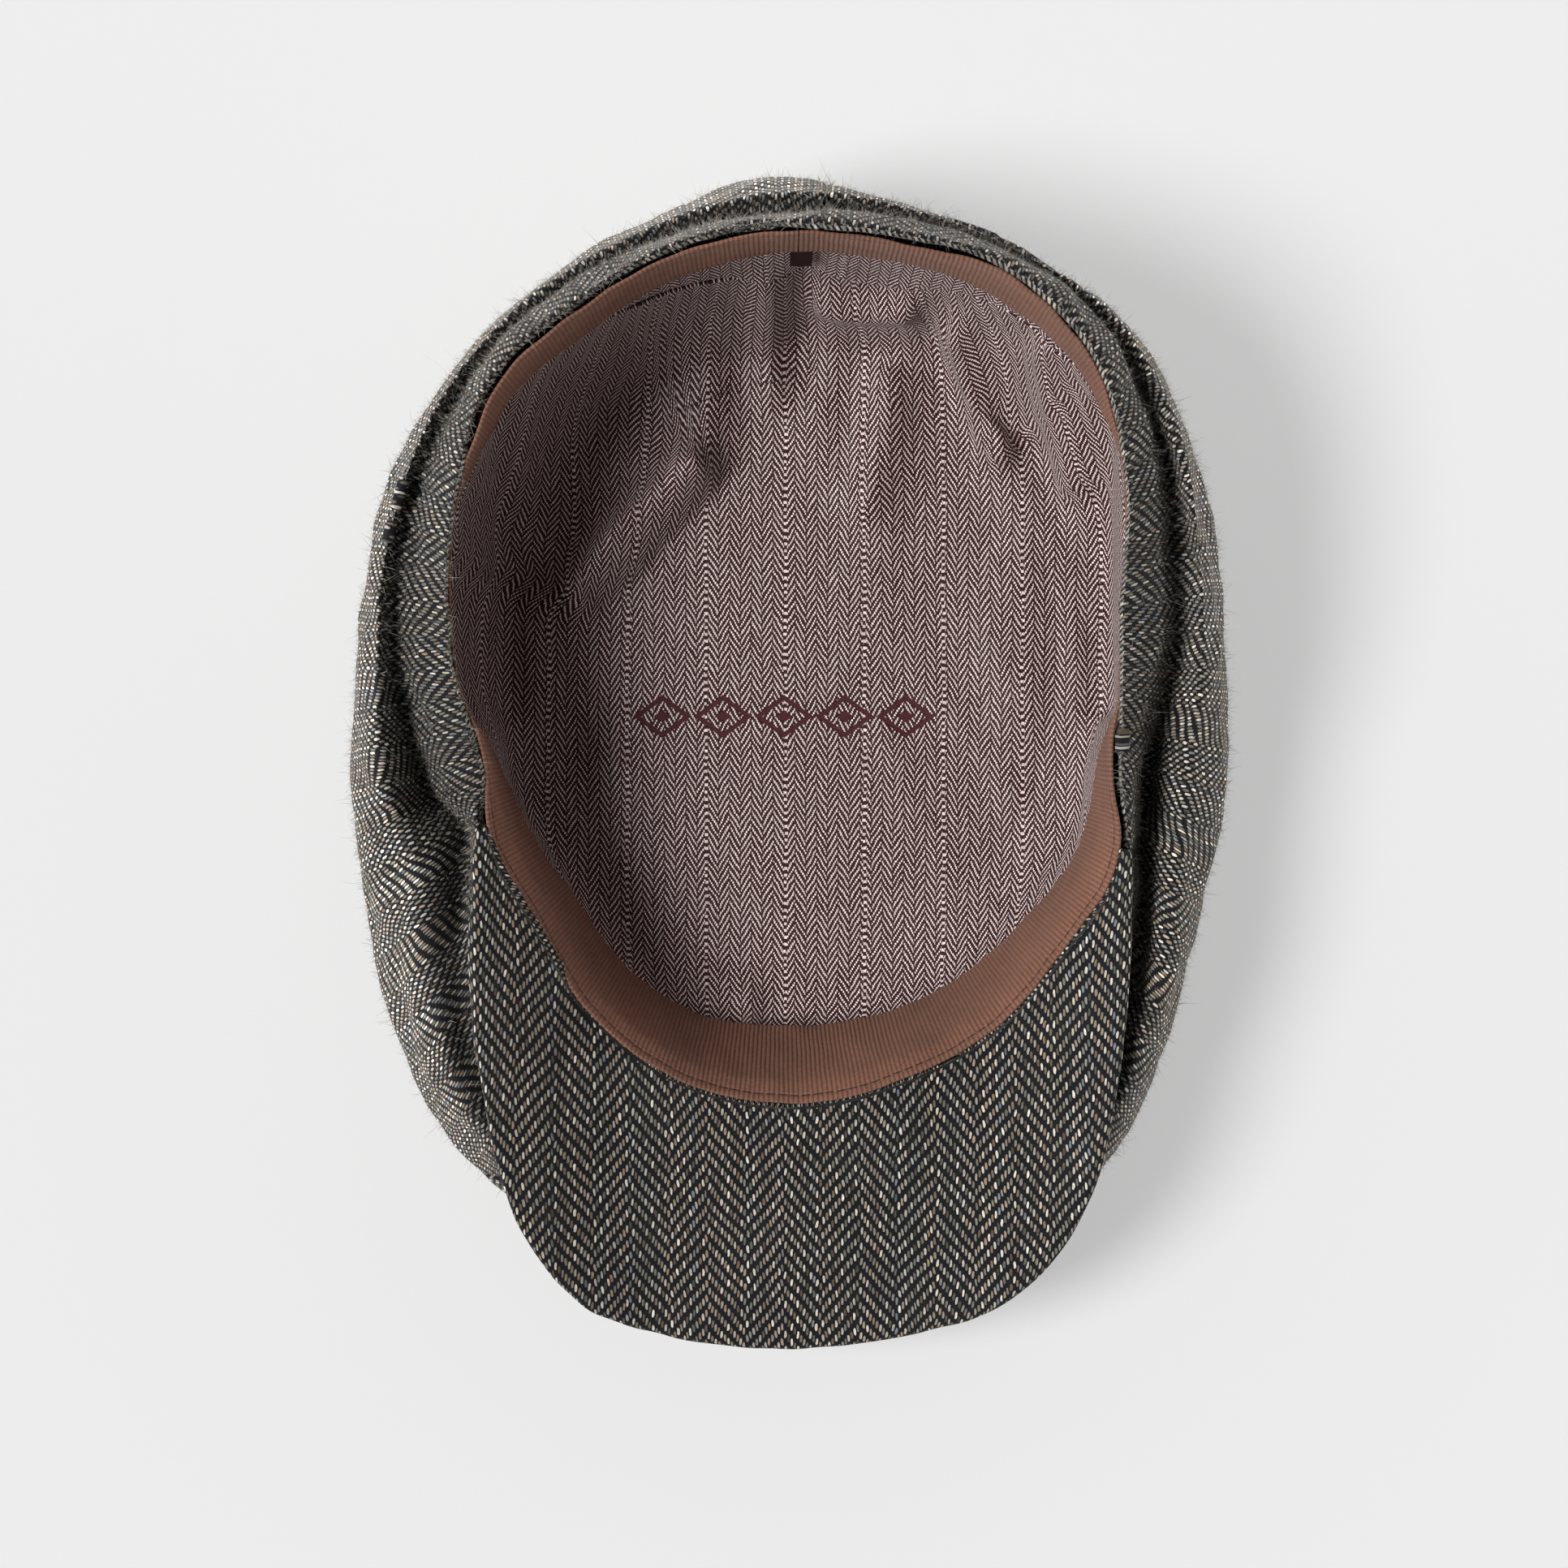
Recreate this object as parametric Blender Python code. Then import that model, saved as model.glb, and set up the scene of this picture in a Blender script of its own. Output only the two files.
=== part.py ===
"""A herringbone tweed flat cap that lies upside down on its crown, with the head opening up.

Metres. +Z is up, +Y points to the back of the head and +X to the right as seen from above.
The rings of the cap are worked out around a vertical line through the head opening. An angle
around it is in degrees: 0 at the back, positive towards +X, 180 at the front of the peak.
"""

import math

import bmesh
import bpy
from mathutils import Vector

# Head opening, measured along the edge of the tweed
OPENING_LENGTH = 0.2075
OPENING_WIDTH = 0.1600
BACK_HEIGHT = 0.0880
FRONT_HEIGHT = 0.0410

# Crown, which puffs out past the opening and lies flat on the table
SIDE_OVERHANG = 0.0264
BACK_OVERHANG = 0.0150
FLAT_INSET = 0.0230
FRONT_FLAT_INSET = 0.0150
STRIP_WIDTH = 0.0185
GROOVE_DEPTH = 0.0120
CREST_RISE = 0.0090
WIDEST_SHARE = 0.45
TWEED = 0.0020

# Seams between the panels of the crown
BACK_SEAM_ANGLE = 5.0
SIDE_PANEL_END = 162.0
SIDE_SEAM_BACK = 5.5
SIDE_SEAM_FRONT = 2.6
SIDE_SEAM_TURN = 144.0

# Peak, a stiff board covered with tweed
PEAK_LENGTH = 0.0605
PEAK_THICKNESS = 0.0045
PEAK_TIP_SHARE = 0.5
PEAK_DIP = 0.0130
PEAK_HALF_ANGLE = 62.0
PEAK_SHOWS = 0.0095
PEAK_HEM = 0.0190
CROWN_LIP = 0.0180
HEM_DROP = 0.0040
HEM_LEDGE = 0.0030
TUCK_TURN = 9.0

# Sweatband, lining and tab
BAND_WIDTH = 0.0300
BAND_THICKNESS = 0.0012
BAND_SINK = 0.0006
BAND_JOINT_ANGLE = 2.0
TUCK_OUT = 0.0018
TUCK_DOWN = 0.0040
LINING = 0.0010
LINING_LAP = 0.35
FLOOR_BEND = 0.0100
SIDE_LINING_START = -48.0
SIDE_LINING_END = 72.0
FOLD_HEIGHT = 0.0060
TAB_WIDTH = 0.0056
TAB_LENGTH = 0.0120
TAB_THICKNESS = 0.0008
TAB_ANGLE = 2.4

# Clearances between pieces that touch on the real cap: edge to edge, along a seam of two
# panels, and face to face
GAP = 0.0003
SEAM_GAP = 0.0007
CLOTH_GAP = 0.0008
UNDER_PEAK_GAP = 0.0006

# Degrees between stations around the cap, halved in the zones where folds and seams turn
STATION_STEP = 6.0
FINE_ZONES = ((98.0, 132.0), (148.0, 166.0))

# Places that end the walls of the tweed's and the lining's sections, and the steps of a probe
FOOT = 7
CORNER = 4
PROBE_PLACE = 0.01
PROBE_ANGLE = 0.5

# Shares: "rim" of the opening's oval, "crown" of the crown's oval, "strip" of STRIP_WIDTH,
# "groove" of GROOVE_DEPTH, "crest" of CREST_RISE, "lean" of BAND_WIDTH, "corner" of the rim.
# "seam" counts the lining's own section points: 0 at its upper edge, 1 at the sweatband's
# lower edge, 3 near the foot of the wall.
AROUND_COLUMNS = ("angle", "rim", "crown", "strip", "groove", "crest", "lean", "corner", "seam")
AROUND_ROWS = (
    (-180, 1.000, 1.000, 0.40, 0.0, 0.3, 0.50, 0.78, 0.00),
    (-165, 0.993, 1.006, 0.40, 0.0, 0.3, 0.42, 0.79, 0.00),
    (-150, 0.973, 1.048, 0.45, 0.0, 0.4, 0.34, 0.80, 0.00),
    (-143, 0.952, 1.066, 0.49, 0.0, 0.6, 0.29, 0.82, 0.00),
    (-135, 0.935, 1.055, 0.55, 0.1, 0.8, 0.24, 0.84, 0.00),
    (-120, 0.953, 1.026, 0.62, 0.7, 1.0, 0.19, 0.88, 0.00),
    (-105, 0.940, 1.010, 0.81, 0.8, 0.9, 0.03, 0.91, 0.00),
    (-90, 0.980, 0.975, 0.77, 0.2, 0.6, -0.10, 0.89, 0.00),
    (-75, 1.018, 0.967, 0.71, 0.1, 0.5, -0.11, 0.86, 0.00),
    (-60, 1.052, 0.974, 0.56, 0.0, 0.4, -0.04, 0.82, 0.05),
    (-45, 1.080, 0.969, 0.34, 0.0, 0.3, 0.08, 0.80, 0.35),
    (-30, 1.025, 0.953, 0.34, 0.0, 0.2, 0.10, 0.80, 1.15),
    (-15, 1.002, 0.963, 0.26, 0.0, 0.2, 0.09, 0.79, 1.50),
    (0, 1.000, 0.995, 0.29, 0.0, 0.2, 0.08, 0.79, 1.75),
    (15, 1.034, 0.980, 0.32, 0.0, 0.2, 0.07, 0.79, 1.80),
    (30, 1.123, 0.991, 0.28, 0.0, 0.3, 0.10, 0.79, 1.45),
    (45, 1.162, 1.046, 0.38, 0.1, 0.4, 0.04, 0.81, 1.25),
    (60, 1.107, 1.036, 0.62, 0.2, 0.5, -0.06, 0.87, 0.80),
    (75, 1.034, 1.015, 0.78, 0.3, 0.5, -0.12, 0.94, 0.10),
    (90, 1.004, 1.012, 0.74, 0.5, 0.6, -0.10, 0.96, 0.00),
    (105, 1.018, 1.025, 0.45, 1.0, 0.9, 0.05, 0.93, 0.00),
    (120, 1.083, 1.027, 0.42, 1.0, 1.0, 0.20, 0.86, 0.00),
    (135, 1.048, 1.055, 0.48, 0.6, 0.8, 0.25, 0.82, 0.00),
    (143, 1.041, 1.075, 0.47, 0.4, 0.6, 0.31, 0.80, 0.00),
    (150, 1.035, 1.068, 0.45, 0.2, 0.4, 0.36, 0.79, 0.00),
    (165, 1.006, 1.008, 0.40, 0.0, 0.3, 0.43, 0.78, 0.00),
)

# "turn" is degrees from the front, negative towards -X, "width" a share of PEAK_LENGTH and
# "dip" of PEAK_DIP
PEAK_COLUMNS = ("turn", "width", "dip")
PEAK_ROWS = (
    (-62, 0.060, -0.10),
    (-55, 0.160, -0.50),
    (-50, 0.260, -0.70),
    (-45, 0.368, -0.80),
    (-40, 0.478, -0.78),
    (-35, 0.590, -0.66),
    (-30, 0.735, -0.42),
    (-25, 0.885, -0.08),
    (-20, 0.985, 0.30),
    (-16, 1.036, 0.56),
    (-10, 1.027, 0.84),
    (0, 1.015, 1.00),
    (10, 1.023, 0.86),
    (16, 1.028, 0.63),
    (20, 1.008, 0.43),
    (25, 0.925, 0.14),
    (30, 0.797, -0.15),
    (35, 0.645, -0.36),
    (40, 0.500, -0.48),
    (45, 0.372, -0.52),
    (50, 0.255, -0.46),
    (55, 0.160, -0.32),
    (62, 0.060, -0.05),
)

# Folds of the lining's floor: "x" and "width" are shares of OPENING_WIDTH, "y" and "length" of
# OPENING_LENGTH, "height" of FOLD_HEIGHT, and "heading" is the ridge's angle in degrees.
FOLD_COLUMNS = ("x", "y", "heading", "length", "width", "height")
FOLD_ROWS = (
    (-0.22, 0.13, 43, 0.11, 0.060, 0.55),
    (-0.38, 0.12, 2, 0.20, 0.060, 0.70),
    (0.06, 0.38, 4, 0.09, 0.045, 0.45),
    (0.17, 0.27, 8, 0.10, 0.050, 0.45),
    (0.31, 0.30, -23, 0.12, 0.055, 0.65),
    (0.36, 0.02, 0, 0.20, 0.060, 0.35),
)

# Principled base colour, roughness and metallic value of each cloth
CLOTH_LOOKS = {
    "tweed": ((0.085, 0.083, 0.078, 1.0), 0.92, 0.0),
    "grosgrain": ((0.155, 0.063, 0.040, 1.0), 0.75, 0.0),
    "lining": ((0.205, 0.125, 0.120, 1.0), 0.70, 0.0),
    "tab": ((0.060, 0.012, 0.010, 1.0), 0.60, 0.0),
}


def hermite(x, x0, x1, y0, y1, slope0, slope1):
    """The cubic from (x0, y0) to (x1, y1) that leaves and arrives with these slopes."""
    run = x1 - x0
    t = (x - x0) / run
    rest = 1 - t
    ends = y0 * (1 + 2 * t) * rest**2 + y1 * (3 - 2 * t) * t**2
    return ends + run * t * rest * (slope0 * rest - slope1 * t)


class Table:
    """Rows of numbers under named columns, read between the rows along a smooth curve."""

    def __init__(self, columns, rows, turn=0.0):
        self.columns = columns
        self.rows = [tuple(row) for row in rows]
        if turn:
            before = [(row[0] - turn, *row[1:]) for row in rows[-2:]]
            after = [(row[0] + turn, *row[1:]) for row in rows[:3]]
            self.rows = before + self.rows + after

    def slope(self, index, column):
        low = self.rows[max(index - 1, 0)]
        high = self.rows[min(index + 1, len(self.rows) - 1)]
        return (high[column] - low[column]) / (high[0] - low[0])

    def at(self, name, x):
        column = self.columns.index(name)
        last = len(self.rows) - 2
        index = 0
        while index < last and self.rows[index + 1][0] < x:
            index += 1
        start = self.rows[index]
        end = self.rows[index + 1]
        return hermite(
            x,
            start[0],
            end[0],
            start[column],
            end[column],
            self.slope(index, column),
            self.slope(index + 1, column),
        )


AROUND = Table(AROUND_COLUMNS, AROUND_ROWS, turn=360.0)
PEAK = Table(PEAK_COLUMNS, PEAK_ROWS)


def smooth_step(low, high, x):
    """0 below low, 1 above high, and a smooth rise between."""
    share = min(max((x - low) / (high - low), 0.0), 1.0)
    return share * share * (3 - 2 * share)


def mix(start, end, share):
    return start + (end - start) * share


def mix_point(start, end, share):
    return (mix(start[0], end[0], share), mix(start[1], end[1], share))


def wrapped(angle):
    """The same angle between -180 and 180."""
    return (angle + 180.0) % 360.0 - 180.0


def oval(angle, reach, half_width):
    """Distance from the middle to an ellipse, in the direction of the angle."""
    turn = math.radians(angle)
    return 1 / math.hypot(math.cos(turn) / reach, math.sin(turn) / half_width)


# Outlines around the opening


def rim_radius(angle):
    share = AROUND.at("rim", wrapped(angle))
    return share * oval(angle, OPENING_LENGTH / 2, OPENING_WIDTH / 2)


def rim_height(angle):
    """The opening's edge lies in one plane, high at the back and low at the front."""
    forward = rim_radius(angle) * math.cos(math.radians(angle))
    return mix(FRONT_HEIGHT, BACK_HEIGHT, 0.5 + forward / OPENING_LENGTH)


def crown_radius(angle):
    back = OPENING_LENGTH / 2 + BACK_OVERHANG
    front = OPENING_LENGTH / 2 + PEAK_LENGTH - PEAK_SHOWS
    reach = back if math.cos(math.radians(angle)) > 0 else front
    share = AROUND.at("crown", wrapped(angle))
    return share * oval(angle, reach, OPENING_WIDTH / 2 + SIDE_OVERHANG)


def peak_turn(angle):
    """Degrees between this angle and the front of the peak."""
    return 180.0 - abs(wrapped(angle))


def on_peak(angle):
    """Degrees from the front as the peak's table counts them, within the peak."""
    turn = wrapped(180.0 - angle)
    return min(max(turn, -PEAK_HALF_ANGLE), PEAK_HALF_ANGLE)


def peak_radius(angle):
    return rim_radius(angle) + PEAK_LENGTH * PEAK.at("width", on_peak(angle))


def peak_thickness(angle):
    """The board thins towards its two ends."""
    to_end = PEAK_HALF_ANGLE - peak_turn(angle)
    return PEAK_THICKNESS * mix(PEAK_TIP_SHARE, 1.0, smooth_step(0.0, 10.0, to_end))


def peak_top(angle, share):
    """Height of the peak's upper face, at this share of its width from the opening."""
    return rim_height(angle) - PEAK_DIP * PEAK.at("dip", on_peak(angle)) * share


def under_peak(angle, radius):
    """Height just under the peak, and past the peak's edge that of the edge."""
    inner = rim_radius(angle)
    share = min((radius - inner) / (peak_radius(angle) - inner), 1.0)
    return peak_top(angle, share) - peak_thickness(angle) - UNDER_PEAK_GAP


# Sections, as (radius, height) points from the opening down


def smooth_path(points, place):
    """A point on the smooth curve through the points, which it meets at whole numbers."""
    rows = [(index, *point) for index, point in enumerate(points)]
    table = Table(("place", "radius", "height"), rows)
    return table.at("radius", place), max(table.at("height", place), 0.0)


def open_section(angle):
    """Tweed where the opening's edge shows: rim, strip, crease, then the puffed crown."""
    rim = rim_radius(angle)
    height = rim_height(angle)
    crown = crown_radius(angle)
    out = STRIP_WIDTH * AROUND.at("strip", angle)
    drop = math.sqrt(max(STRIP_WIDTH**2 - out**2, 0.0))
    crease = height - drop - GROOVE_DEPTH * AROUND.at("groove", angle)
    crest = height - drop + CREST_RISE * AROUND.at("crest", angle)
    widest = WIDEST_SHARE * height
    return [
        (rim, height - TWEED / 2),
        (rim + 0.75 * TWEED, height),
        (rim + 0.55 * out + 0.4 * TWEED, height - 0.45 * drop),
        (rim + out, crease),
        (mix(rim + out, crown, 0.48), crest),
        (crown, widest),
        (crown - 0.22 * FLAT_INSET, 0.36 * widest),
        (crown - FLAT_INSET, 0.0),
    ]


def peak_section(angle):
    """Tweed that starts at a hem under the peak, near the peak's edge."""
    half_way = mix(rim_radius(angle), peak_radius(angle), 0.5)
    start = min(peak_radius(angle) - PEAK_HEM, crown_radius(angle) - CROWN_LIP)
    start = max(start, half_way)
    crown = max(crown_radius(angle), start + 4 * TWEED)
    ledge = min(peak_radius(angle) + HEM_LEDGE, mix(start, crown, 0.45))
    groove = GROOVE_DEPTH * AROUND.at("groove", wrapped(angle))
    inset = mix(FRONT_FLAT_INSET, FLAT_INSET, smooth_step(10.0, 45.0, peak_turn(angle)))
    roll = start + 0.75 * TWEED
    slope = mix(roll, ledge, 0.5)
    edge = under_peak(angle, ledge)
    widest = WIDEST_SHARE * edge
    return [
        (start, under_peak(angle, start) - TWEED / 2),
        (roll, under_peak(angle, roll)),
        (slope, under_peak(angle, slope) - 0.5 * (HEM_DROP + groove)),
        (ledge, edge - HEM_DROP - groove),
        (mix(ledge, crown, 0.5), edge - 0.7 * HEM_DROP),
        (crown, widest),
        (crown - 0.22 * inset, 0.36 * widest),
        (crown - inset, 0.0),
    ]


def tweed_section(angle):
    """The section at this angle: the strip tucks under the peak just before its end."""
    angle = wrapped(angle)
    tip = 180.0 - PEAK_HALF_ANGLE
    under = smooth_step(tip - TUCK_TURN, tip - 1.0, abs(angle))
    if under == 0.0:
        return open_section(angle)
    if under == 1.0:
        return peak_section(angle)
    pairs = zip(open_section(angle), peak_section(angle))
    return [mix_point(first, second, under) for first, second in pairs]


def side_seam(angle):
    """Where the side panel is sewn to the top panel, along the tweed's section."""
    near_front = smooth_step(SIDE_SEAM_TURN, SIDE_PANEL_END, abs(wrapped(angle)))
    return mix(SIDE_SEAM_BACK, SIDE_SEAM_FRONT, near_front)


def band_section(angle):
    """Upper and lower edge of the sweatband's visible face.

    Where it leans outwards, at the sides, the opening's edge covers it.
    """
    lean = AROUND.at("lean", wrapped(angle))
    under = smooth_step(-0.02, 0.08, -lean)
    edge = rim_radius(angle) - CLOTH_GAP - BAND_THICKNESS + under * TUCK_OUT
    top = (edge, rim_height(angle) - BAND_SINK - under * TUCK_DOWN)
    inward = BAND_WIDTH * lean
    down = math.sqrt(BAND_WIDTH**2 - inward**2)
    return [top, (top[0] - inward, top[1] - down)]


def lining_section(angle):
    """Visible side of the lining: behind the sweatband, down the wall, onto the floor."""
    top, low = band_section(angle)
    behind = BAND_THICKNESS + CLOTH_GAP
    lap = mix_point(low, top, LINING_LAP)
    corner = rim_radius(angle) * AROUND.at("corner", wrapped(angle))
    floor = floor_height(*plan(angle, corner))
    return [
        (lap[0] + behind, lap[1]),
        (low[0] + behind, low[1]),
        (mix(low[0] + behind, corner, 0.42), mix(low[1], floor, 0.5)),
        (corner, floor + FLOOR_BEND / 3),
        (corner - FLOOR_BEND, floor_height(*plan(angle, corner - FLOOR_BEND))),
    ]


def plan(angle, radius):
    """Place on the table of a point at this angle and distance, from the opening's middle."""
    turn = math.radians(angle)
    return radius * math.sin(turn), radius * math.cos(turn)


def floor_height(x, y):
    """Visible side of the lining where it lies over the crown, with its soft folds."""
    height = TWEED + GAP + LINING
    for row in FOLD_ROWS:
        fold = dict(zip(FOLD_COLUMNS, row))
        east = x - fold["x"] * OPENING_WIDTH
        north = y - fold["y"] * OPENING_LENGTH
        heading = math.radians(fold["heading"])
        along = east * math.sin(heading) + north * math.cos(heading)
        across = east * math.cos(heading) - north * math.sin(heading)
        reach = (along / (fold["length"] * OPENING_LENGTH)) ** 2
        reach += (across / (fold["width"] * OPENING_WIDTH)) ** 2
        height += FOLD_HEIGHT * fold["height"] * math.exp(-reach)
    return height


# Stations around the cap and the frame's origin


def stations(start, end, fine=True):
    """Angles from start to end, closer together in the fine zones."""
    half = STATION_STEP / 2
    found = [start, end]
    for index in range(math.ceil(start / half), math.floor(end / half) + 1):
        angle = index * half
        turned = abs(wrapped(angle))
        in_zone = fine and any(low < turned < high for low, high in FINE_ZONES)
        inside = start + 0.2 * half < angle < end - 0.2 * half
        if inside and (index % 2 == 0 or in_zone):
            found.append(angle)
    return sorted(found)


def ring(fine=True):
    """Stations all the way round, with no angle twice."""
    return stations(-180.0, 180.0, fine)[:-1]


def opening_centre():
    """Where the opening's middle lies, so that the cap's outline is centred on the origin."""
    places = [plan(angle, crown_radius(angle)) for angle in ring()]
    peak = stations(180.0 - PEAK_HALF_ANGLE, 180.0 + PEAK_HALF_ANGLE)
    places += [plan(angle, peak_radius(angle)) for angle in peak]
    xs = [place[0] for place in places]
    ys = [place[1] for place in places]
    return -(min(xs) + max(xs)) / 2, -(min(ys) + max(ys)) / 2


CENTRE = opening_centre()


def position(angle, radius, height):
    x, y = plan(angle, radius)
    return Vector((CENTRE[0] + x, CENTRE[1] + y, height))


# Surfaces, each read at an angle and at a place along its section


def tweed_surface(angle, place):
    """The tweed's visible side, and past the foot of its section the flat on the table."""
    section = tweed_section(angle)
    if place <= FOOT:
        return position(angle, *smooth_path(section, place))
    return position(angle, section[FOOT][0] * (FOOT + 1 - place), 0.0)


def lining_surface(angle, place):
    """The lining's visible side, and past the wall's corner the floor over the crown."""
    section = lining_section(angle)
    if place <= CORNER:
        return position(angle, *smooth_path(section, place))
    radius = section[CORNER][0] * (CORNER + 1 - place)
    return position(angle, radius, floor_height(*plan(angle, radius)))


def band_surface(angle, place):
    top, low = band_section(angle)
    return position(angle, *mix_point(top, low, place))


def tab_surface(angle, place):
    """The tab hangs just in front of the lining, from just under the sweatband."""
    low = band_section(angle)[1]
    section = lining_section(angle)
    along = (GAP + place * TAB_LENGTH) / math.dist(section[1], section[2])
    radius, height = smooth_path(section, 1.0 + along)
    return position(angle, radius - CLOTH_GAP - TAB_THICKNESS, min(height, low[1] - GAP))


def normal(surface, angle, place):
    """Points up where the surface leads outwards, and outwards where it leads down."""
    before = max(place - PROBE_PLACE, 0.0)
    across = surface(angle + PROBE_ANGLE, place) - surface(angle - PROBE_ANGLE, place)
    along = surface(angle, place + PROBE_PLACE) - surface(angle, before)
    return across.cross(along).normalized()


def faces_at(surface, angle, place, thickness):
    """The cloth's shown and hidden face at one place."""
    shown = surface(angle, place)
    return shown, shown - normal(surface, angle, place) * thickness


def past_seam(surface, angle, seam, thickness):
    """The first place beyond a seam where both faces of the cloth are a seam gap from it.

    The gap is measured square to the seam, whose place at an angle is seam(angle).
    """
    place = seam(angle)
    edge = faces_at(surface, angle, place, thickness)
    before = surface(angle - PROBE_ANGLE, seam(angle - PROBE_ANGLE))
    after = surface(angle + PROBE_ANGLE, seam(angle + PROBE_ANGLE))
    down = surface(angle, place + PROBE_PLACE) - edge[0]
    slant = math.sin((after - before).angle(down))
    nearest = 0.0
    while nearest < SEAM_GAP:
        place += PROBE_PLACE
        here = faces_at(surface, angle, place, thickness)
        nearest = slant * min((a - b).length for a, b in zip(here, edge))
    return place


# Mesh building


def material(name):
    colour, roughness, metallic = CLOTH_LOOKS[name]
    made = bpy.data.materials.get(name) or bpy.data.materials.new(name)
    made.use_nodes = True
    shader = made.node_tree.nodes["Principled BSDF"]
    shader.inputs["Base Color"].default_value = colour
    shader.inputs["Roughness"].default_value = roughness
    shader.inputs["Metallic"].default_value = metallic
    return made


def add_object(name, shape, cloth):
    bmesh.ops.recalc_face_normals(shape, faces=shape.faces)
    mesh = bpy.data.meshes.new(name)
    shape.to_mesh(mesh)
    shape.free()
    mesh.materials.append(material(cloth))
    mesh.shade_smooth()
    made = bpy.data.objects.new(name, mesh)
    bpy.context.scene.collection.objects.link(made)


def strip(shape, first, second):
    """Quads between two equally long rows of vertices."""
    for index in range(len(first) - 1):
        shape.faces.new((first[index], second[index], second[index + 1], first[index + 1]))


def wall(name, surface, lines, thickness, cloth, closed=False):
    """A wall of cloth through lines of (angle, place), one line for each station.

    A positive thickness lies against the surface's normals and a negative one along them.
    A closed wall goes all the way round, and ends in a point on the opening's axis.
    """
    shape = bmesh.new()
    shown = []
    hidden = []
    for line in lines:
        faces = [faces_at(surface, *spot, thickness) for spot in line]
        shown.append([shape.verts.new(near) for near, far in faces])
        hidden.append([shape.verts.new(far) for near, far in faces])
    if closed:
        shown.append(shown[0])
        hidden.append(hidden[0])
    for side in (shown, hidden):
        for first, second in zip(side, side[1:]):
            strip(shape, first, second)
    strip(shape, [line[0] for line in shown], [line[0] for line in hidden])
    if closed:
        close_middle(shape, surface, (shown, hidden), thickness)
    else:
        strip(shape, [line[-1] for line in shown], [line[-1] for line in hidden])
        strip(shape, shown[0], hidden[0])
        strip(shape, shown[-1], hidden[-1])
    add_object(name, shape, cloth)


def close_middle(shape, surface, sides, thickness):
    """Fills the last ring of each side with a fan around the opening's axis."""
    end = FOOT + 1 if surface is tweed_surface else CORNER + 1
    point = surface(0.0, end)
    away = Vector((0.0, 0.0, abs(thickness)))
    rise = away if surface is tweed_surface else -away
    for side, middle in zip(sides, (point, point + rise)):
        centre = shape.verts.new(middle)
        for first, second in zip(side, side[1:]):
            shape.faces.new((first[-1], second[-1], centre))


def spread(start, end, shares):
    return [mix(start, end, share) for share in shares]


def line_at(angle, places):
    return [(angle, place) for place in places]


# The pieces

SIDE_PLACES = (0.0, 0.5, 1.0, 2.0, 2.5, 3.0, 3.5, 4.0, 4.5, 5.0)
TOP_PLACES = (1.0, 2.0, 3.0, 3.5, 4.0, 5.0, 5.5, 6.0, 6.5, 7.0)
SEAM_STEP = 0.02
BASE_STEPS = (0.14, 0.45, 0.75)
LINING_SHARES = (0.0, 0.33, 0.67, 1.0)
WALL_SHARES = (0.0, 0.13, 0.26, 0.5, 0.75, 1.0)
FLOOR_STEPS = (0.16, 0.32, 0.48, 0.66, 0.84)


def side_panel(name, start, end):
    """One of the two tweed panels between the opening and the top panel.

    Its rows keep their places along the folds of the section as far as the seam.
    """
    lines = []
    for angle in stations(start, end):
        seam = side_seam(angle)
        last = len(SIDE_PLACES)
        rows = [min(row, seam - SEAM_STEP * (last - i)) for i, row in enumerate(SIDE_PLACES)]
        lines.append(line_at(angle, rows + [seam]))
    wall(name, tweed_surface, lines, TWEED, "tweed")


def top_panel():
    """The tweed panel that lies on the table and wraps up to the peak at the front."""
    lines = []
    for angle in ring():
        start = 0.0
        if abs(wrapped(angle)) <= SIDE_PANEL_END:
            start = past_seam(tweed_surface, angle, side_seam, TWEED)
        rows = [max(row, start + SEAM_STEP * (i + 1)) for i, row in enumerate(TOP_PLACES)]
        rows += [FOOT + step for step in BASE_STEPS]
        lines.append(line_at(angle, [start] + rows))
    wall("crown_top", tweed_surface, lines, TWEED, "tweed", closed=True)


def peak_loop(angle):
    """The peak's rounded cross-section at this angle, once round."""
    inner = rim_radius(angle)
    outer = peak_radius(angle)
    width = outer - inner
    thickness = peak_thickness(angle)
    nose = min(thickness / 2, width / 2)
    flat = (width - nose) / width
    shares = spread(0.0, flat, (0.0, 0.33, 0.67, 1.0))
    loop = [(inner + share * width, peak_top(angle, share)) for share in shares]
    middle = peak_top(angle, flat) - thickness / 2
    for turn in (45.0, 0.0, -45.0):
        reach = nose * math.cos(math.radians(turn))
        rise = thickness / 2 * math.sin(math.radians(turn))
        loop.append((outer - nose + reach, middle + rise))
    for share in reversed(shares):
        loop.append((inner + share * width, peak_top(angle, share) - thickness))
    return [position(angle, *point) for point in loop]


def peak():
    shape = bmesh.new()
    angles = stations(180.0 - PEAK_HALF_ANGLE, 180.0 + PEAK_HALF_ANGLE)
    loops = [[shape.verts.new(point) for point in peak_loop(angle)] for angle in angles]
    for first, second in zip(loops, loops[1:]):
        strip(shape, first + first[:1], second + second[:1])
    shape.faces.new(loops[0])
    shape.faces.new(loops[-1])
    add_object("peak", shape, "tweed")


def sweatband():
    """The grosgrain ribbon round the inside, one strip whose ends meet at the back."""
    half_gap = math.degrees(GAP / 2 / rim_radius(BAND_JOINT_ANGLE))
    start = BAND_JOINT_ANGLE + half_gap
    end = BAND_JOINT_ANGLE + 360.0 - half_gap
    lines = [line_at(angle, (0.0, 0.5, 1.0)) for angle in stations(start, end, fine=False)]
    wall("sweatband", band_surface, lines, -BAND_THICKNESS, "grosgrain")


def lining_seam(angle):
    return AROUND.at("seam", wrapped(angle))


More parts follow.
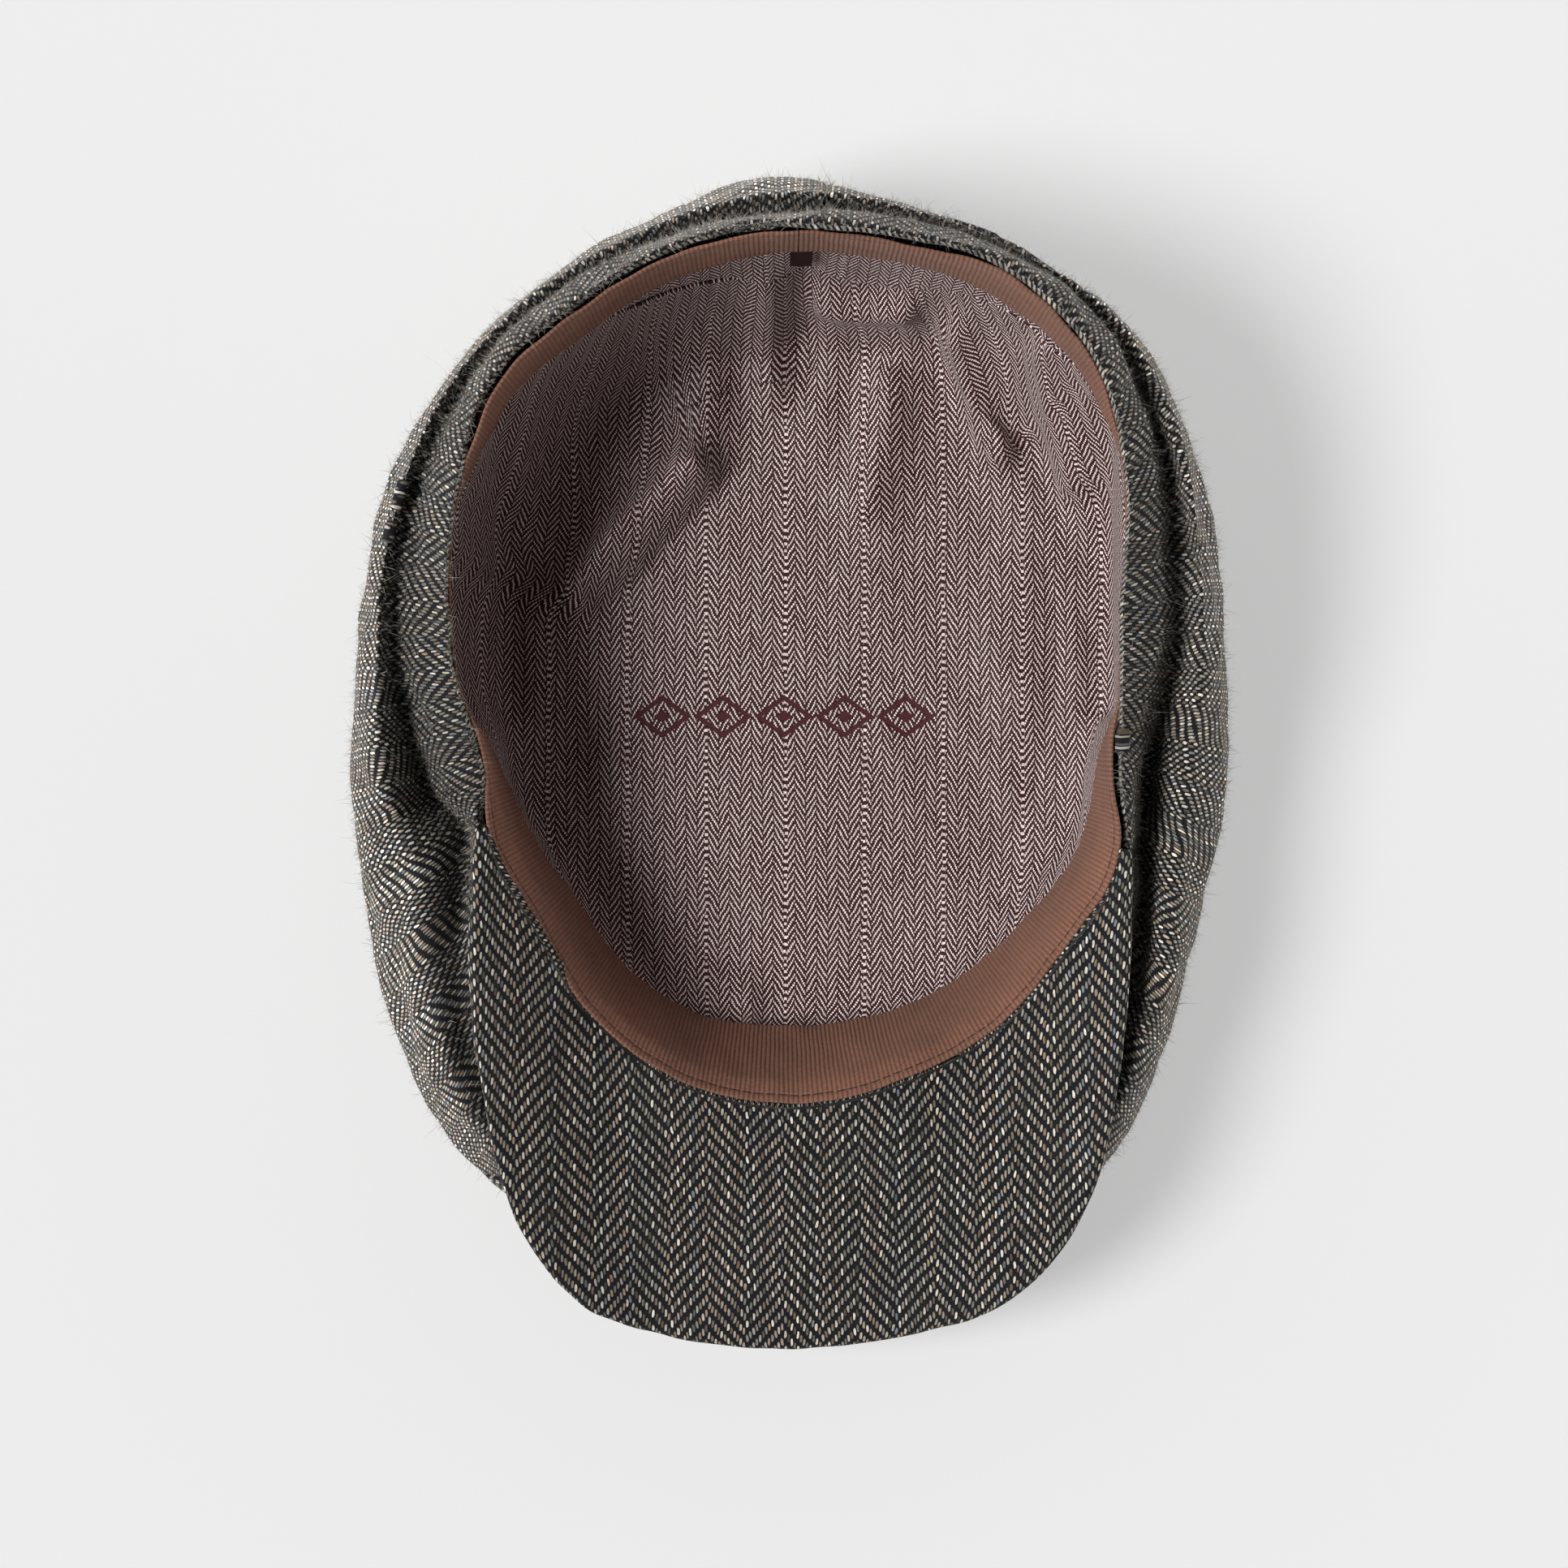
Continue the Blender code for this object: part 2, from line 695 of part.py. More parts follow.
def lining_side():
    """The strip of lining on the wall at the back of the head."""
    lines = []
    for angle in stations(SIDE_LINING_START, SIDE_LINING_END, fine=False):
        lines.append(line_at(angle, spread(0.0, lining_seam(angle), LINING_SHARES)))
    wall("lining_side", lining_surface, lines, -LINING, "lining")


def lining_ring():
    """Stations of the top lining, with one at each end of the side lining."""
    return sorted({*ring(fine=False), SIDE_LINING_START, SIDE_LINING_END})


def lining_top():
    """The lining over the crown, which reaches up to the sweatband at the sides and front."""
    lines = []
    for angle in lining_ring():
        start = 0.0
        if SIDE_LINING_START <= wrapped(angle) <= SIDE_LINING_END:
            start = past_seam(lining_surface, angle, lining_seam, -LINING)
        places = spread(start, CORNER, WALL_SHARES) + [CORNER + step for step in FLOOR_STEPS]
        lines.append(line_at(angle, places))
    wall("lining_top", lining_surface, lines, -LINING, "lining", closed=True)


def size_tab():
    """The small ribbon tab that hangs from the sweatband against the lining at the back."""
    half = math.degrees(TAB_WIDTH / 2 / rim_radius(TAB_ANGLE))
    angles = (TAB_ANGLE - half, TAB_ANGLE, TAB_ANGLE + half)
    lines = [line_at(angle, (0.0, 0.5, 1.0)) for angle in angles]
    wall("size_tab", tab_surface, lines, -TAB_THICKNESS, "tab")


def main():
    for old in list(bpy.data.objects):
        bpy.data.objects.remove(old, do_unlink=True)
    seam_half = math.degrees(GAP / 2 / rim_radius(BACK_SEAM_ANGLE))
    top_panel()
    side_panel("crown_side_left", -SIDE_PANEL_END, BACK_SEAM_ANGLE - seam_half)
    side_panel("crown_side_right", BACK_SEAM_ANGLE + seam_half, SIDE_PANEL_END)
    peak()
    sweatband()
    lining_side()
    lining_top()
    size_tab()


main()
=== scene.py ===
"""Looks of a herringbone tweed flat cap that lies upside down on its crown.

Metres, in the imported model's frame: +Z up, +Y to the back of the head, +X to the right. An angle
around the head opening is in degrees: 0 at the back, positive towards +X, 180 at the front.
"""

from math import cos, degrees, dist, exp, hypot, pi, radians, sin, sqrt, tau

import bpy
import numpy as np
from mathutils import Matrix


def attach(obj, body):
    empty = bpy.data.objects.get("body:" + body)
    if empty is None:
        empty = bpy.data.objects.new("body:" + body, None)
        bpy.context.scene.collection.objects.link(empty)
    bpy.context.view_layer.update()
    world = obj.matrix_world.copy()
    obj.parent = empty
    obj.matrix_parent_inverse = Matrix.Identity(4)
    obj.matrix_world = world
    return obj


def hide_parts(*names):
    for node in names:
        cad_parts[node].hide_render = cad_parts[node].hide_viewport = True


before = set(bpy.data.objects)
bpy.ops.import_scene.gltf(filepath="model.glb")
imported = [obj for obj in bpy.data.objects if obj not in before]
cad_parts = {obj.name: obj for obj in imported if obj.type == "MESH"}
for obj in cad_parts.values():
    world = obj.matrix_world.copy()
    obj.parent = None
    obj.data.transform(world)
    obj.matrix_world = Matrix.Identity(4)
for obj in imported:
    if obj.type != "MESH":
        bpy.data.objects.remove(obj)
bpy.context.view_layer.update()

# The cap's own sizes, as in the solids
OPENING_LENGTH = 0.2075
OPENING_WIDTH = 0.1600
BACK_HEIGHT = 0.0880
FRONT_HEIGHT = 0.0410
SIDE_OVERHANG = 0.0264
BACK_OVERHANG = 0.0150
FLAT_INSET = 0.0230
FRONT_FLAT_INSET = 0.0150
STRIP_WIDTH = 0.0185
GROOVE_DEPTH = 0.0120
CREST_RISE = 0.0090
WIDEST_SHARE = 0.45
TWEED = 0.0020
BACK_SEAM_ANGLE = 5.0
SIDE_PANEL_END = 162.0
SIDE_SEAM_BACK = 5.5
SIDE_SEAM_FRONT = 2.6
SIDE_SEAM_TURN = 144.0
PEAK_LENGTH = 0.0605
PEAK_THICKNESS = 0.0045
PEAK_TIP_SHARE = 0.5
PEAK_DIP = 0.0130
PEAK_HALF_ANGLE = 62.0
PEAK_SHOWS = 0.0095
PEAK_HEM = 0.0190
CROWN_LIP = 0.0180
HEM_DROP = 0.0040
HEM_LEDGE = 0.0030
TUCK_TURN = 9.0
BAND_WIDTH = 0.0300
BAND_THICKNESS = 0.0012
BAND_SINK = 0.0006
BAND_JOINT_ANGLE = 2.0
TUCK_OUT = 0.0018
TUCK_DOWN = 0.0040
LINING = 0.0010
LINING_LAP = 0.35
FLOOR_BEND = 0.0100
SIDE_LINING_START = -48.0
SIDE_LINING_END = 72.0
FOLD_HEIGHT = 0.0060
TAB_WIDTH = 0.0056
TAB_LENGTH = 0.0120
TAB_THICKNESS = 0.0008
TAB_ANGLE = 2.4
GAP = 0.0003
CLOTH_GAP = 0.0008
UNDER_PEAK_GAP = 0.0006
FOOT = 7
CORNER = 4

# Shares: "rim" of the opening's oval, "crown" of the crown's oval, "strip" of STRIP_WIDTH,
# "groove" of GROOVE_DEPTH, "crest" of CREST_RISE, "lean" of BAND_WIDTH, "corner" of the rim.
# "seam" counts the lining's own section points: 0 at its upper edge, 1 at the sweatband's
# lower edge, 3 near the foot of the wall.
AROUND_COLUMNS = ("angle", "rim", "crown", "strip", "groove", "crest", "lean", "corner", "seam")
AROUND_ROWS = (
    (-180, 1.0, 1.0, 0.4, 0.0, 0.3, 0.5, 0.78, 0.0),
    (-165, 0.993, 1.006, 0.4, 0.0, 0.3, 0.42, 0.79, 0.0),
    (-150, 0.973, 1.048, 0.45, 0.0, 0.4, 0.34, 0.8, 0.0),
    (-143, 0.952, 1.066, 0.49, 0.0, 0.6, 0.29, 0.82, 0.0),
    (-135, 0.935, 1.055, 0.55, 0.1, 0.8, 0.24, 0.84, 0.0),
    (-120, 0.953, 1.026, 0.62, 0.7, 1.0, 0.19, 0.88, 0.0),
    (-105, 0.94, 1.01, 0.81, 0.8, 0.9, 0.03, 0.91, 0.0),
    (-90, 0.98, 0.975, 0.77, 0.2, 0.6, -0.1, 0.89, 0.0),
    (-75, 1.018, 0.967, 0.71, 0.1, 0.5, -0.11, 0.86, 0.0),
    (-60, 1.052, 0.974, 0.56, 0.0, 0.4, -0.04, 0.82, 0.05),
    (-45, 1.08, 0.969, 0.34, 0.0, 0.3, 0.08, 0.8, 0.35),
    (-30, 1.025, 0.953, 0.34, 0.0, 0.2, 0.1, 0.8, 1.15),
    (-15, 1.002, 0.963, 0.26, 0.0, 0.2, 0.09, 0.79, 1.5),
    (0, 1.0, 0.995, 0.29, 0.0, 0.2, 0.08, 0.79, 1.75),
    (15, 1.034, 0.98, 0.32, 0.0, 0.2, 0.07, 0.79, 1.8),
    (30, 1.123, 0.991, 0.28, 0.0, 0.3, 0.1, 0.79, 1.45),
    (45, 1.162, 1.046, 0.38, 0.1, 0.4, 0.04, 0.81, 1.25),
    (60, 1.107, 1.036, 0.62, 0.2, 0.5, -0.06, 0.87, 0.8),
    (75, 1.034, 1.015, 0.78, 0.3, 0.5, -0.12, 0.94, 0.1),
    (90, 1.004, 1.012, 0.74, 0.5, 0.6, -0.1, 0.96, 0.0),
    (105, 1.018, 1.025, 0.45, 1.0, 0.9, 0.05, 0.93, 0.0),
    (120, 1.083, 1.027, 0.42, 1.0, 1.0, 0.2, 0.86, 0.0),
    (135, 1.048, 1.055, 0.48, 0.6, 0.8, 0.25, 0.82, 0.0),
    (143, 1.041, 1.075, 0.47, 0.4, 0.6, 0.31, 0.8, 0.0),
    (150, 1.035, 1.068, 0.45, 0.2, 0.4, 0.36, 0.79, 0.0),
    (165, 1.006, 1.008, 0.4, 0.0, 0.3, 0.43, 0.78, 0.0),
)

# "turn" is degrees from the front, negative towards -X, "width" a share of PEAK_LENGTH and
# "dip" of PEAK_DIP
PEAK_COLUMNS = ("turn", "width", "dip")
PEAK_ROWS = (
    (-62, 0.06, -0.1),
    (-55, 0.16, -0.5),
    (-50, 0.26, -0.7),
    (-45, 0.368, -0.8),
    (-40, 0.478, -0.78),
    (-35, 0.59, -0.66),
    (-30, 0.735, -0.42),
    (-25, 0.885, -0.08),
    (-20, 0.985, 0.3),
    (-16, 1.036, 0.56),
    (-10, 1.027, 0.84),
    (0, 1.015, 1.0),
    (10, 1.023, 0.86),
    (16, 1.028, 0.63),
    (20, 1.008, 0.43),
    (25, 0.925, 0.14),
    (30, 0.797, -0.15),
    (35, 0.645, -0.36),
    (40, 0.5, -0.48),
    (45, 0.372, -0.52),
    (50, 0.255, -0.46),
    (55, 0.16, -0.32),
    (62, 0.06, -0.05),
)

# Folds of the lining's floor: "x" and "width" are shares of OPENING_WIDTH, "y" and "length" of
# OPENING_LENGTH, "height" of FOLD_HEIGHT, and "heading" is the ridge's angle in degrees.
FOLD_COLUMNS = ("x", "y", "heading", "length", "width", "height")
FOLD_ROWS = (
    (-0.22, 0.13, 43, 0.11, 0.06, 0.55),
    (-0.38, 0.12, 2, 0.2, 0.06, 0.7),
    (0.06, 0.38, 4, 0.09, 0.045, 0.45),
    (0.17, 0.27, 8, 0.1, 0.05, 0.45),
    (0.31, 0.3, -23, 0.12, 0.055, 0.65),
    (0.36, 0.02, 0, 0.2, 0.06, 0.35),
)


def hermite(x, x0, x1, y0, y1, slope0, slope1):
    """The cubic from (x0, y0) to (x1, y1) that leaves and arrives with these slopes."""
    run = x1 - x0
    t = (x - x0) / run
    rest = 1 - t
    ends = y0 * (1 + 2 * t) * rest**2 + y1 * (3 - 2 * t) * t**2
    return ends + run * t * rest * (slope0 * rest - slope1 * t)


class Table:
    """Rows of numbers under named columns, read between the rows along a smooth curve."""

    def __init__(self, columns, rows, turn=0.0):
        self.columns = columns
        self.rows = list(rows)
        if turn:
            before = [(row[0] - turn, *row[1:]) for row in rows[-2:]]
            after = [(row[0] + turn, *row[1:]) for row in rows[:3]]
            self.rows = before + self.rows + after

    def slope(self, index, column):
        low = self.rows[max(index - 1, 0)]
        high = self.rows[min(index + 1, len(self.rows) - 1)]
        return (high[column] - low[column]) / (high[0] - low[0])

    def at(self, name, x):
        column = self.columns.index(name)
        last = len(self.rows) - 2
        index = 0
        while index < last and self.rows[index + 1][0] < x:
            index += 1
        start = self.rows[index]
        end = self.rows[index + 1]
        slopes = (self.slope(index, column), self.slope(index + 1, column))
        return hermite(x, start[0], end[0], start[column], end[column], *slopes)


AROUND = Table(AROUND_COLUMNS, AROUND_ROWS, turn=360.0)
PEAK = Table(PEAK_COLUMNS, PEAK_ROWS)


def smooth_step(low, high, x):
    """0 below low, 1 above high, and a smooth rise between."""
    share = min(max((x - low) / (high - low), 0.0), 1.0)
    return share * share * (3 - 2 * share)


def mix(start, end, share):
    return start + (end - start) * share


def mix_point(start, end, share):
    return (mix(start[0], end[0], share), mix(start[1], end[1], share))


def wrapped(angle):
    """The same angle between -180 and 180."""
    return (angle + 180.0) % 360.0 - 180.0


def oval(angle, reach, half_width):
    """Distance from the middle to an ellipse, in the direction of the angle."""
    turn = radians(angle)
    return 1 / hypot(cos(turn) / reach, sin(turn) / half_width)


def rim_radius(angle):
    share = AROUND.at("rim", wrapped(angle))
    return share * oval(angle, OPENING_LENGTH / 2, OPENING_WIDTH / 2)


def rim_height(angle):
    """The opening's edge lies in one plane, high at the back and low at the front."""
    forward = rim_radius(angle) * cos(radians(angle))
    return mix(FRONT_HEIGHT, BACK_HEIGHT, 0.5 + forward / OPENING_LENGTH)


def crown_radius(angle):
    back = OPENING_LENGTH / 2 + BACK_OVERHANG
    front = OPENING_LENGTH / 2 + PEAK_LENGTH - PEAK_SHOWS
    reach = back if cos(radians(angle)) > 0 else front
    share = AROUND.at("crown", wrapped(angle))
    return share * oval(angle, reach, OPENING_WIDTH / 2 + SIDE_OVERHANG)


def peak_turn(angle):
    """Degrees between this angle and the front of the peak."""
    return 180.0 - abs(wrapped(angle))


def on_peak(angle):
    """Degrees from the front as the peak's table counts them, within the peak."""
    turn = wrapped(180.0 - angle)
    return min(max(turn, -PEAK_HALF_ANGLE), PEAK_HALF_ANGLE)


def peak_radius(angle):
    return rim_radius(angle) + PEAK_LENGTH * PEAK.at("width", on_peak(angle))


def peak_thickness(angle):
    """The board thins towards its two ends."""
    to_end = PEAK_HALF_ANGLE - peak_turn(angle)
    return PEAK_THICKNESS * mix(PEAK_TIP_SHARE, 1.0, smooth_step(0.0, 10.0, to_end))


def peak_top(angle, share):
    """Height of the peak's upper face, at this share of its width from the opening."""
    return rim_height(angle) - PEAK_DIP * PEAK.at("dip", on_peak(angle)) * share


def under_peak(angle, radius):
    """Height just under the peak, and past the peak's edge that of the edge."""
    inner = rim_radius(angle)
    share = min((radius - inner) / (peak_radius(angle) - inner), 1.0)
    return peak_top(angle, share) - peak_thickness(angle) - UNDER_PEAK_GAP


# Sections, as (radius, height) points from the opening down


def open_section(angle):
    """Tweed where the opening's edge shows: rim, strip, crease, then the puffed crown."""
    rim = rim_radius(angle)
    height = rim_height(angle)
    crown = crown_radius(angle)
    out = STRIP_WIDTH * AROUND.at("strip", angle)
    drop = sqrt(max(STRIP_WIDTH**2 - out**2, 0.0))
    crease = height - drop - GROOVE_DEPTH * AROUND.at("groove", angle)
    crest = height - drop + CREST_RISE * AROUND.at("crest", angle)
    widest = WIDEST_SHARE * height
    return [
        (rim, height - TWEED / 2),
        (rim + 0.75 * TWEED, height),
        (rim + 0.55 * out + 0.4 * TWEED, height - 0.45 * drop),
        (rim + out, crease),
        (mix(rim + out, crown, 0.48), crest),
        (crown, widest),
        (crown - 0.22 * FLAT_INSET, 0.36 * widest),
        (crown - FLAT_INSET, 0.0),
    ]


def peak_section(angle):
    """Tweed that starts at a hem under the peak, near the peak's edge."""
    half_way = mix(rim_radius(angle), peak_radius(angle), 0.5)
    start = min(peak_radius(angle) - PEAK_HEM, crown_radius(angle) - CROWN_LIP)
    start = max(start, half_way)
    crown = max(crown_radius(angle), start + 4 * TWEED)
    ledge = min(peak_radius(angle) + HEM_LEDGE, mix(start, crown, 0.45))
    groove = GROOVE_DEPTH * AROUND.at("groove", wrapped(angle))
    inset = mix(FRONT_FLAT_INSET, FLAT_INSET, smooth_step(10.0, 45.0, peak_turn(angle)))
    roll = start + 0.75 * TWEED
    slope = mix(roll, ledge, 0.5)
    edge = under_peak(angle, ledge)
    widest = WIDEST_SHARE * edge
    return [
        (start, under_peak(angle, start) - TWEED / 2),
        (roll, under_peak(angle, roll)),
        (slope, under_peak(angle, slope) - 0.5 * (HEM_DROP + groove)),
        (ledge, edge - HEM_DROP - groove),
        (mix(ledge, crown, 0.5), edge - 0.7 * HEM_DROP),
        (crown, widest),
        (crown - 0.22 * inset, 0.36 * widest),
        (crown - inset, 0.0),
    ]


def tweed_section(angle):
    """The section at this angle: the strip tucks under the peak just before its end."""
    angle = wrapped(angle)
    tip = 180.0 - PEAK_HALF_ANGLE
    under = smooth_step(tip - TUCK_TURN, tip - 1.0, abs(angle))
    if under == 0.0:
        return open_section(angle)
    if under == 1.0:
        return peak_section(angle)
    pairs = zip(open_section(angle), peak_section(angle))
    return [mix_point(first, second, under) for first, second in pairs]


def side_seam(angle):
    """Where the side panel is sewn to the top panel, along the tweed's section."""
    near_front = smooth_step(SIDE_SEAM_TURN, SIDE_PANEL_END, abs(wrapped(angle)))
    return mix(SIDE_SEAM_BACK, SIDE_SEAM_FRONT, near_front)


def band_section(angle):
    """Upper and lower edge of the sweatband's visible face.

    Where it leans outwards, at the sides, the opening's edge covers it.
    """
    lean = AROUND.at("lean", wrapped(angle))
    under = smooth_step(-0.02, 0.08, -lean)
    edge = rim_radius(angle) - CLOTH_GAP - BAND_THICKNESS + under * TUCK_OUT
    top = (edge, rim_height(angle) - BAND_SINK - under * TUCK_DOWN)
    inward = BAND_WIDTH * lean
    down = sqrt(BAND_WIDTH**2 - inward**2)
    return [top, (top[0] - inward, top[1] - down)]


def lining_section(angle):
    """Visible side of the lining: behind the sweatband, down the wall, onto the floor."""
    top, low = band_section(angle)
    behind = BAND_THICKNESS + CLOTH_GAP
    lap = mix_point(low, top, LINING_LAP)
    corner = rim_radius(angle) * AROUND.at("corner", wrapped(angle))
    floor = floor_height(*plan(angle, corner))
    return [
        (lap[0] + behind, lap[1]),
        (low[0] + behind, low[1]),
        (mix(low[0] + behind, corner, 0.42), mix(low[1], floor, 0.5)),
        (corner, floor + FLOOR_BEND / 3),
        (corner - FLOOR_BEND, floor_height(*plan(angle, corner - FLOOR_BEND))),
    ]


def plan(angle, radius):
    """Place on the table of a point at this angle and distance, from the opening's middle."""
    turn = radians(angle)
    return radius * sin(turn), radius * cos(turn)


def floor_height(x, y):
    """Visible side of the lining where it lies over the crown, with its soft folds."""
    height = TWEED + GAP + LINING
    for row in FOLD_ROWS:
        fold = dict(zip(FOLD_COLUMNS, row))
        east = x - fold["x"] * OPENING_WIDTH
        north = y - fold["y"] * OPENING_LENGTH
        heading = radians(fold["heading"])
        along = east * sin(heading) + north * cos(heading)
        across = east * cos(heading) - north * sin(heading)
        reach = (along / (fold["length"] * OPENING_LENGTH)) ** 2
        reach += (across / (fold["width"] * OPENING_WIDTH)) ** 2
        height += FOLD_HEIGHT * fold["height"] * exp(-reach)
    return height


def outline_centre():
    """Where the opening's middle lies: the cap's outline is centred on the origin."""
    places = [plan(angle, crown_radius(angle)) for angle in range(-180, 180, 6)]
    tip = int(180 - PEAK_HALF_ANGLE)
    turns = range(tip, 361 - tip, 3)
    places += [plan(angle, peak_radius(angle)) for angle in turns]
    xs = [place[0] for place in places]
    ys = [place[1] for place in places]
    return -(min(xs) + max(xs)) / 2, -(min(ys) + max(ys)) / 2


CENTRE = outline_centre()

# Grids of points: one row for each angle around the opening


def path_points(section, places):
    """Radius and height at each place of a section, and past its end over the flat."""
    points = np.array(section)
    slopes = np.gradient(points, axis=0)
    last = len(points) - 1
    index = np.clip(np.floor(places).astype(int), 0, last - 1)
    t = (np.minimum(places, last) - index)[:, None]
    rest = 1 - t
    low = points[index]
    high = points[index + 1]
    found = low * (1 + 2 * t) * rest**2 + high * (3 - 2 * t) * t**2
    found += t * rest * (slopes[index] * rest - slopes[index + 1] * t)
    found[:, 1] = np.maximum(found[:, 1], 0.0)
    past = np.maximum(places - last, 0.0)
    found[:, 0] = np.where(past > 0, points[last, 0] * (1 - past), found[:, 0])
    return found


def ring_points(angle, radius, height):
    """Points in one direction from the opening's middle, at these distances and heights."""
    east, north = plan(angle, radius)
    return np.stack([CENTRE[0] + east, CENTRE[1] + north, height], axis=1)


def sweep(section_at, angles, places):
    """Points on a surface, at every angle and at that angle's own row of places."""
    rows = []
    for angle, row in zip(angles, places):
        path = path_points(section_at(angle), row)
        rows.append(ring_points(angle, path[:, 0], path[:, 1]))
    return np.array(rows)


def unit(vectors):
    return vectors / np.maximum(np.linalg.norm(vectors, axis=-1, keepdims=True), 1e-9)


def grid_normals(points, closed=False):
    """Up where the rows lead outwards, and outwards where they lead down."""
    if closed:
        around = np.concatenate([points[-1:], points, points[:1]])
        across = np.gradient(around, axis=0)[1:-1]
    else:
        across = np.gradient(points, axis=0)
    return unit(np.cross(across, np.gradient(points, axis=1)))


STEADY_TURNS = 50


def steady(normals):
    """Directions averaged along each row, which don't cross where the cloth folds sharply."""
    found = normals
    for _ in range(STEADY_TURNS):
        inner = found[:, :-2] + 2 * found[:, 1:-1] + found[:, 2:]
        found = unit(np.concatenate([found[:, :1], inner, found[:, -1:]], axis=1))
    return found


def waves(points, size, count, seed):
    """Smooth relief between about -1 and 1, with bumps of this size in metres."""
    chance = np.random.default_rng(seed)
    total = np.zeros(points.shape[:-1])
    for _ in range(count):
        heading = unit(chance.normal(size=3))
        pitch = size * chance.uniform(0.7, 1.6)
        total += np.sin(points @ heading * (tau / pitch) + chance.uniform(0, tau))
    return total / sqrt(count)


def lengths_along(points):
    """Distance along each row, from its first point."""
    steps = np.linalg.norm(np.diff(points, axis=1), axis=2)
    return np.concatenate([np.zeros((len(points), 1)), np.cumsum(steps, axis=1)], axis=1)


def nose(start, end, away, count):
    """Points of a half circle from start to end, which bulges away."""
    middle = (start + end) / 2
    half = (start - end) / 2
    radius = np.linalg.norm(half, axis=1, keepdims=True)
    turns = [pi * (step + 1) / (count + 1) for step in range(count)]
    arc = [middle + half * cos(t) + away * radius * sin(t) for t in turns]
    return np.stack(arc, axis=1)


def thinned(count, step):
    """Numbers below count, a step apart, and the last one."""
    return sorted({*range(0, count, step), count - 1})


def cloth_body(shown, normals, thickness, hidden_step):
    """Closed sections through a cloth wall with rounded edges.

    Gives the points, and each one's distance along the cloth from its first edge. A positive
    thickness lies against the normals and a negative one along them.
    """
    far = shown - steady(normals) * thickness
    keep = thinned(shown.shape[1], hidden_step)
    first = unit(shown[:, 0] - shown[:, 1])
    last = unit(shown[:, -1] - shown[:, -2])
    end_nose = nose(shown[:, -1], far[:, -1], last, 3)
    back = far[:, keep][:, ::-1]
    start_nose = nose(far[:, 0], shown[:, 0], first, 4)
    along = lengths_along(shown)
    bend = abs(thickness) * pi / 2
    ends = along[:, -1:] + bend * np.array([[0.25, 0.5, 0.75]])
    behind = -bend - along[:, keep][:, ::-1]
    starts = np.repeat(bend * np.array([[-0.8, -0.6, -0.4, -0.2]]), len(shown), axis=0)
    return (
        np.concatenate([shown, end_nose, back, start_nose], axis=1),
        np.concatenate([along, ends, behind, starts], axis=1),
    )


def disc(name, shown, normals, thickness, hidden_step, chart, material):
    """A round sheet of cloth whose rows all lead to its middle, with a rounded outer edge.

    The chart holds the cloth coordinates of the shown points.
    """
    keep = thinned(shown.shape[1], hidden_step)[::-1]
    far = shown - steady(normals) * thickness
    first = unit(shown[:, 0] - shown[:, 1])
    edge = nose(far[:, 0], shown[:, 0], first, 4)
    chains = np.concatenate([far[:, keep], edge, shown], axis=1)
    edge_chart = np.repeat(chart[:, :1], 4, axis=1)
    charts = np.concatenate([chart[:, keep], edge_chart, chart], axis=1)
    rings, size = chains.shape[:2]
    here = (np.arange(rings) * size)[:, None]
    there = (np.roll(np.arange(rings), -1) * size)[:, None]
    place = np.arange(size - 1)[None]
    quads = np.stack([here + place, there + place, there + place + 1, here + place + 1], axis=-1)
    faces = quads.reshape(-1, 4).tolist()
    low = rings * size
    pairs = list(zip(here[:, 0].tolist(), there[:, 0].tolist()))
    faces += [[low, b, a] for a, b in pairs]
    faces += [[a + size - 1, b + size - 1, low + 1] for a, b in pairs]
    ends = np.stack([chains[:, 0].mean(axis=0), chains[:, -1].mean(axis=0)])
    points = np.concatenate([chains.reshape(-1, 3), ends])
    middle = np.repeat(chart[:, -1].mean(axis=0)[None], 2, axis=0)
    coordinates = np.concatenate([charts.reshape(-1, 2), middle])
    if thickness > 0:
        faces = [face[::-1] for face in faces]
    return add_mesh(name, points, faces, coordinates, material)


def loft(name, loops, coordinates, material):
    """A mesh through closed loops of points, with its cloth coordinates in a UV map."""
    rings, size = loops.shape[:2]
    first = np.arange(rings - 1)[:, None] * size
    second = first + size
    here = np.arange(size)[None]
    after = (here + 1) % size
    quads = np.stack([first + here, second + here, second + after, first + after], axis=-1)
    faces = quads.reshape(-1, 4).tolist()
    faces += [list(range(size)), list(range((rings - 1) * size, rings * size))[::-1]]
    points = loops.reshape(-1, 3)
    corners = points[quads.reshape(-1, 4)]
    turned = np.cross(corners[:, 1] - corners[:, 0], corners[:, 2] - corners[:, 0])
    if np.sum(turned * corners[:, 0]) < 0:
        faces = [face[::-1] for face in faces]
    return add_mesh(name, points, faces, coordinates.reshape(-1, 2), material)


def add_mesh(name, points, faces, coordinates, material):
    mesh = bpy.data.meshes.new(name)
    mesh.from_pydata(points.tolist(), [], faces)
    owners = np.empty(len(mesh.loops), dtype=np.int64)
    mesh.loops.foreach_get("vertex_index", owners)
    layer = mesh.uv_layers.new(name="Weave")
    layer.data.foreach_set("uv", coordinates[owners].astype(np.float32).ravel())
    mesh.shade_smooth()
    mesh.materials.append(material)
    return add_object(name, mesh)


def add_object(name, data):
    piece = bpy.data.objects.new(name, data)
    bpy.context.scene.collection.objects.link(piece)
    return piece


# Materials

MILLIMETRE = 1000.0


